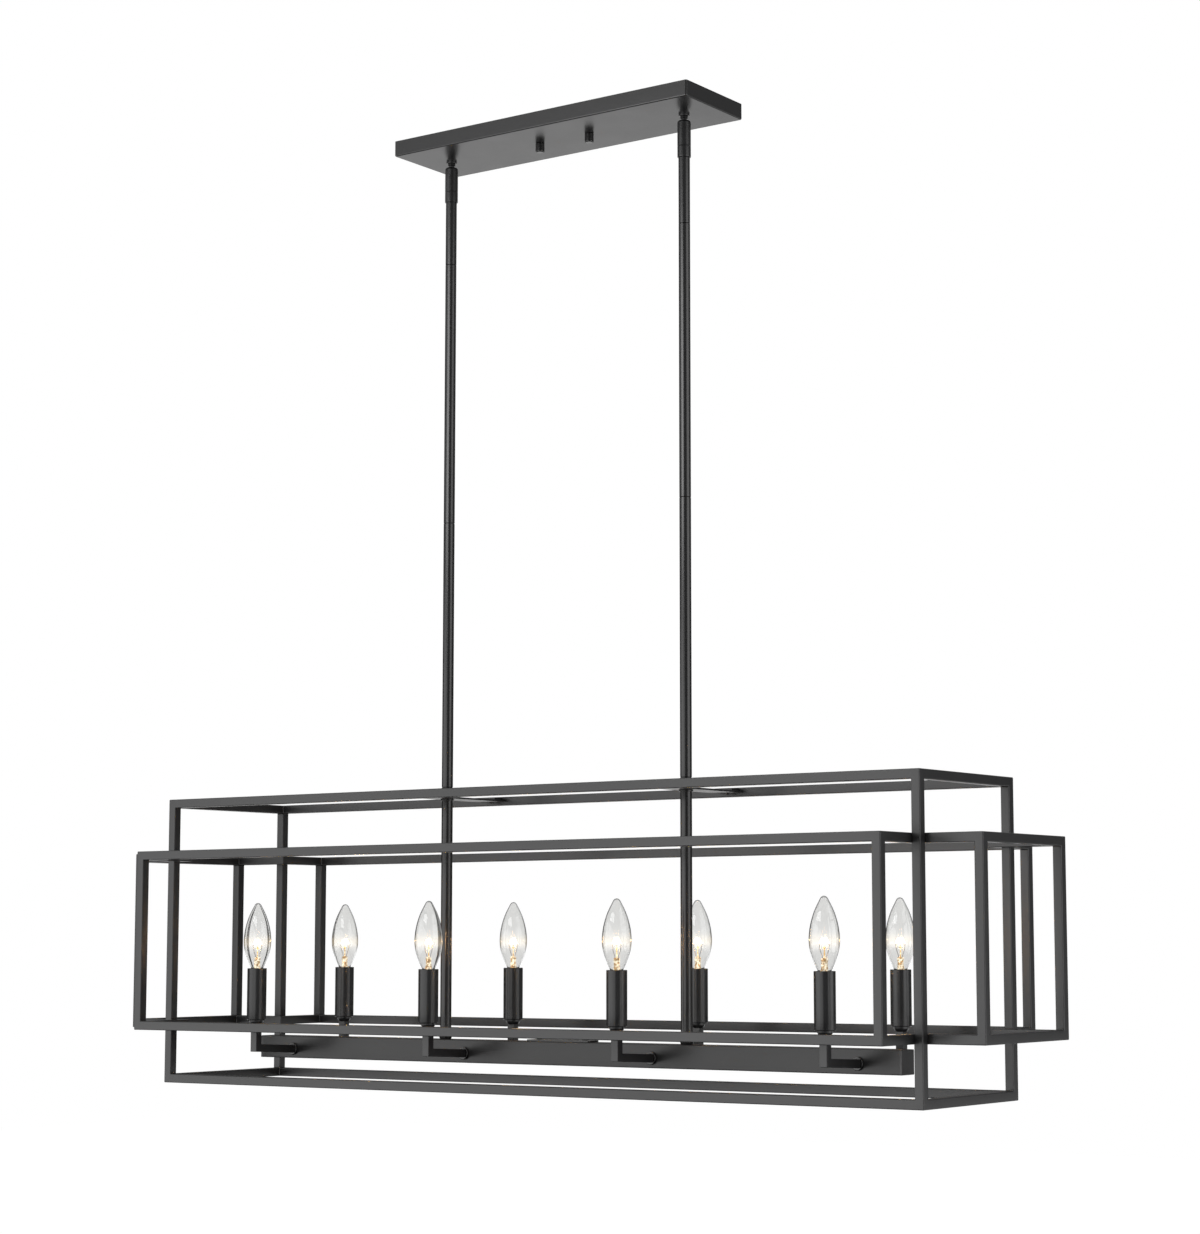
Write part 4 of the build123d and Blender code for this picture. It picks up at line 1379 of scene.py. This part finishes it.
class PENDANT_OT_stage(bpy.types.Operator):
    """Set up the camera, the pale floor and the studio light"""

    bl_idname = "pendant.stage"
    bl_label = "Stage"

    def execute(self, context):
        scene = context.scene
        stage = scene.pendant_stage
        scene.view_settings.view_transform = "Standard"
        self.camera(scene, stage)
        self.floor(stage)
        self.world(scene, stage)
        # each soft light: two points on the plan, its bottom and top height, its radiance
        self.softbox("key_light", (-0.62, -1.02), (0.30, -1.24), (-0.34, 0.16), stage.key)
        self.softbox("dim_light", (-1.09, -0.53), (-0.43, -1.12), (-1.4, -0.45), stage.dim)
        self.softbox("low_light", (-0.43, -1.12), (0.85, -2.26), (-1.4, -0.45), stage.low)
        self.softbox("tall_light", (-2.53, -1.14), (-0.69, -2.69), (-1.4, 1.6), stage.tall)
        self.softbox("side_light", (1.25, -0.42), (1.25, 0.58), (-1.4, 0.25), stage.side)
        return {"FINISHED"}

    def camera(self, scene, stage):
        """Camera at the photograph's place and angle."""
        deselect()
        pitch, roll, heading = stage.camera_turn
        bpy.ops.object.camera_add(location=stage.camera_place)
        camera = bpy.context.object
        camera.name = "camera"
        turn = camera.rotation_euler.copy()
        turn.zero()
        turn.rotate_axis("Z", heading)
        turn.rotate_axis("X", math.pi / 2 + pitch)
        turn.rotate_axis("Z", roll)
        camera.rotation_euler = turn
        camera.data.sensor_width = 36.0
        camera.data.lens = stage.focal_length
        camera.data.shift_x = stage.shift
        camera.data.clip_start = 0.05
        camera.data.clip_end = 100.0
        scene.camera = camera

    def floor(self, stage):
        """Pale floor: white to the eye, with the shadow, and mirrored brighter far out."""
        deselect()
        bpy.ops.mesh.primitive_plane_add(size=stage.floor_size, location=(0, 0, -stage.floor_drop))
        floor = bpy.context.object
        floor.name = "floor"
        material = bpy.data.materials.new("pale_floor")
        shader = Shader(material)
        seen, mirrored = self.rays(shader)
        near_edge, far_edge, glow = 2.2, 6.0, 0.75
        away = shader.node("VectorMath", {"operation": "LENGTH"}, {0: shader.place()})
        far = shader.between(away.at("Value"), near_edge, far_edge)
        floor_paint = shader.paint(
            Base_Color=rgba(stage.floor_colour),
            Roughness=0.9,
            Specular_IOR_Level=0.0,
            Emission_Color=shader.blend(seen, black, white),
            Emission_Strength=glow,
        )
        sweep = {"Color": shader.blend(far, black, white), "Strength": stage.sweep}
        backdrop = shader.node("Emission", inputs=sweep)
        shader.output(shader.node("MixShader", inputs={0: mirrored, 1: floor_paint, 2: backdrop}))
        floor.data.materials.append(material)

    def rays(self, shader):
        """Rays that go straight to the eye, and rays that some surface mirrors first."""
        path = shader.node("LightPath")
        glossy = path.at("Is Glossy Ray")
        through = path.at("Is Transmission Ray")
        turned_back = path.at("Glossy Depth").smaller(1.0)
        straight = through * (1.0 - turned_back)
        return path.at("Is Camera Ray") + straight, glossy * (1.0 - straight)

    def world(self, scene, stage):
        """White to the eye and through glass, and a dim room over a bright low backdrop."""
        scene.world = bpy.data.worlds.new("studio")
        shader = Shader(scene.world)
        seen, mirrored = self.rays(shader)
        direction = shader.node("TexCoord").at("Generated")
        height = shader.node("SeparateXYZ", inputs={0: direction}).at("Z")
        ground, sky = (-0.04, -0.22), (0.0, 0.3)
        low_down = shader.between(height, *ground)
        high_up = shader.between(height, *sky)
        horizon = 0.2 * stage.mirrored
        room = horizon + high_up * (stage.mirrored - horizon) + low_down * (stage.sweep - horizon)
        rest = 1.0 - seen - mirrored
        level = seen + mirrored * room + rest * stage.fill
        grey = shader.node("CombineColor", inputs={0: level, 1: level, 2: level})
        background = shader.node("Background", inputs={"Color": grey, "Strength": 1.0})
        shader.output(background, "OutputWorld")

    def softbox(self, name, start, end, heights, radiance):
        """A soft light that stands between two plan points and faces the left of its run."""
        deselect()
        start, end = Vector(start), Vector(end)
        run = end - start
        bottom, top = heights
        place = (*((start + end) / 2), (bottom + top) / 2)
        bpy.ops.object.light_add(type="AREA", location=place)
        light = bpy.context.object
        light.name = name
        light.data.shape = "RECTANGLE"
        light.data.size, light.data.size_y = run.length, top - bottom
        light.data.energy = radiance * math.pi * run.length * (top - bottom)
        light.rotation_euler = (math.pi / 2, 0, math.atan2(run.y, run.x))
        light.visible_camera = False
        light.visible_transmission = False


# ---------------------------------------------------------------- panel and registration
operators = (
    PENDANT_OT_canopy,
    PENDANT_OT_canopy_nuts,
    PENDANT_OT_swivels,
    PENDANT_OT_stems,
    PENDANT_OT_frames,
    PENDANT_OT_crossbars,
    PENDANT_OT_channel,
    PENDANT_OT_arms,
    PENDANT_OT_sleeves,
    PENDANT_OT_lamps,
    PENDANT_OT_hidden_parts,
    PENDANT_OT_stage,
)


class PENDANT_PT_panel(bpy.types.Panel):
    """The pendant's sizes, finishes and building steps"""

    bl_idname = "PENDANT_PT_panel"
    bl_label = "Linear Island Pendant"
    bl_space_type = "VIEW_3D"
    bl_region_type = "UI"
    bl_category = "Pendant"

    def draw(self, context):
        for group in groups:
            settings = getattr(context.scene, group)
            box = self.layout.box()
            for name in settings.__annotations__:
                box.prop(settings, name)
        for operator in operators:
            self.layout.operator(operator.bl_idname)


groups = {
    "pendant_sizes": PendantSizes,
    "pendant_finishes": PendantFinishes,
    "pendant_stage": PendantStage,
}
classes = (*groups.values(), *operators, PENDANT_PT_panel)


def register():
    """Register every class and hang the property groups on the scene."""
    for part in classes:
        bpy.utils.register_class(part)
    for name, group in groups.items():
        setattr(bpy.types.Scene, name, PointerProperty(type=group))


def unregister():
    """Take everything away again."""
    for name in groups:
        delattr(bpy.types.Scene, name)
    for part in reversed(classes):
        bpy.utils.unregister_class(part)


def main():
    """Build the whole pendant."""
    register()
    for operator in operators:
        group, name = operator.bl_idname.split(".")
        result = getattr(getattr(bpy.ops, group), name)()
        if "FINISHED" not in result:
            raise RuntimeError(f"{operator.bl_label} did not finish")
    deselect()


if __name__ == "__main__":
    main()
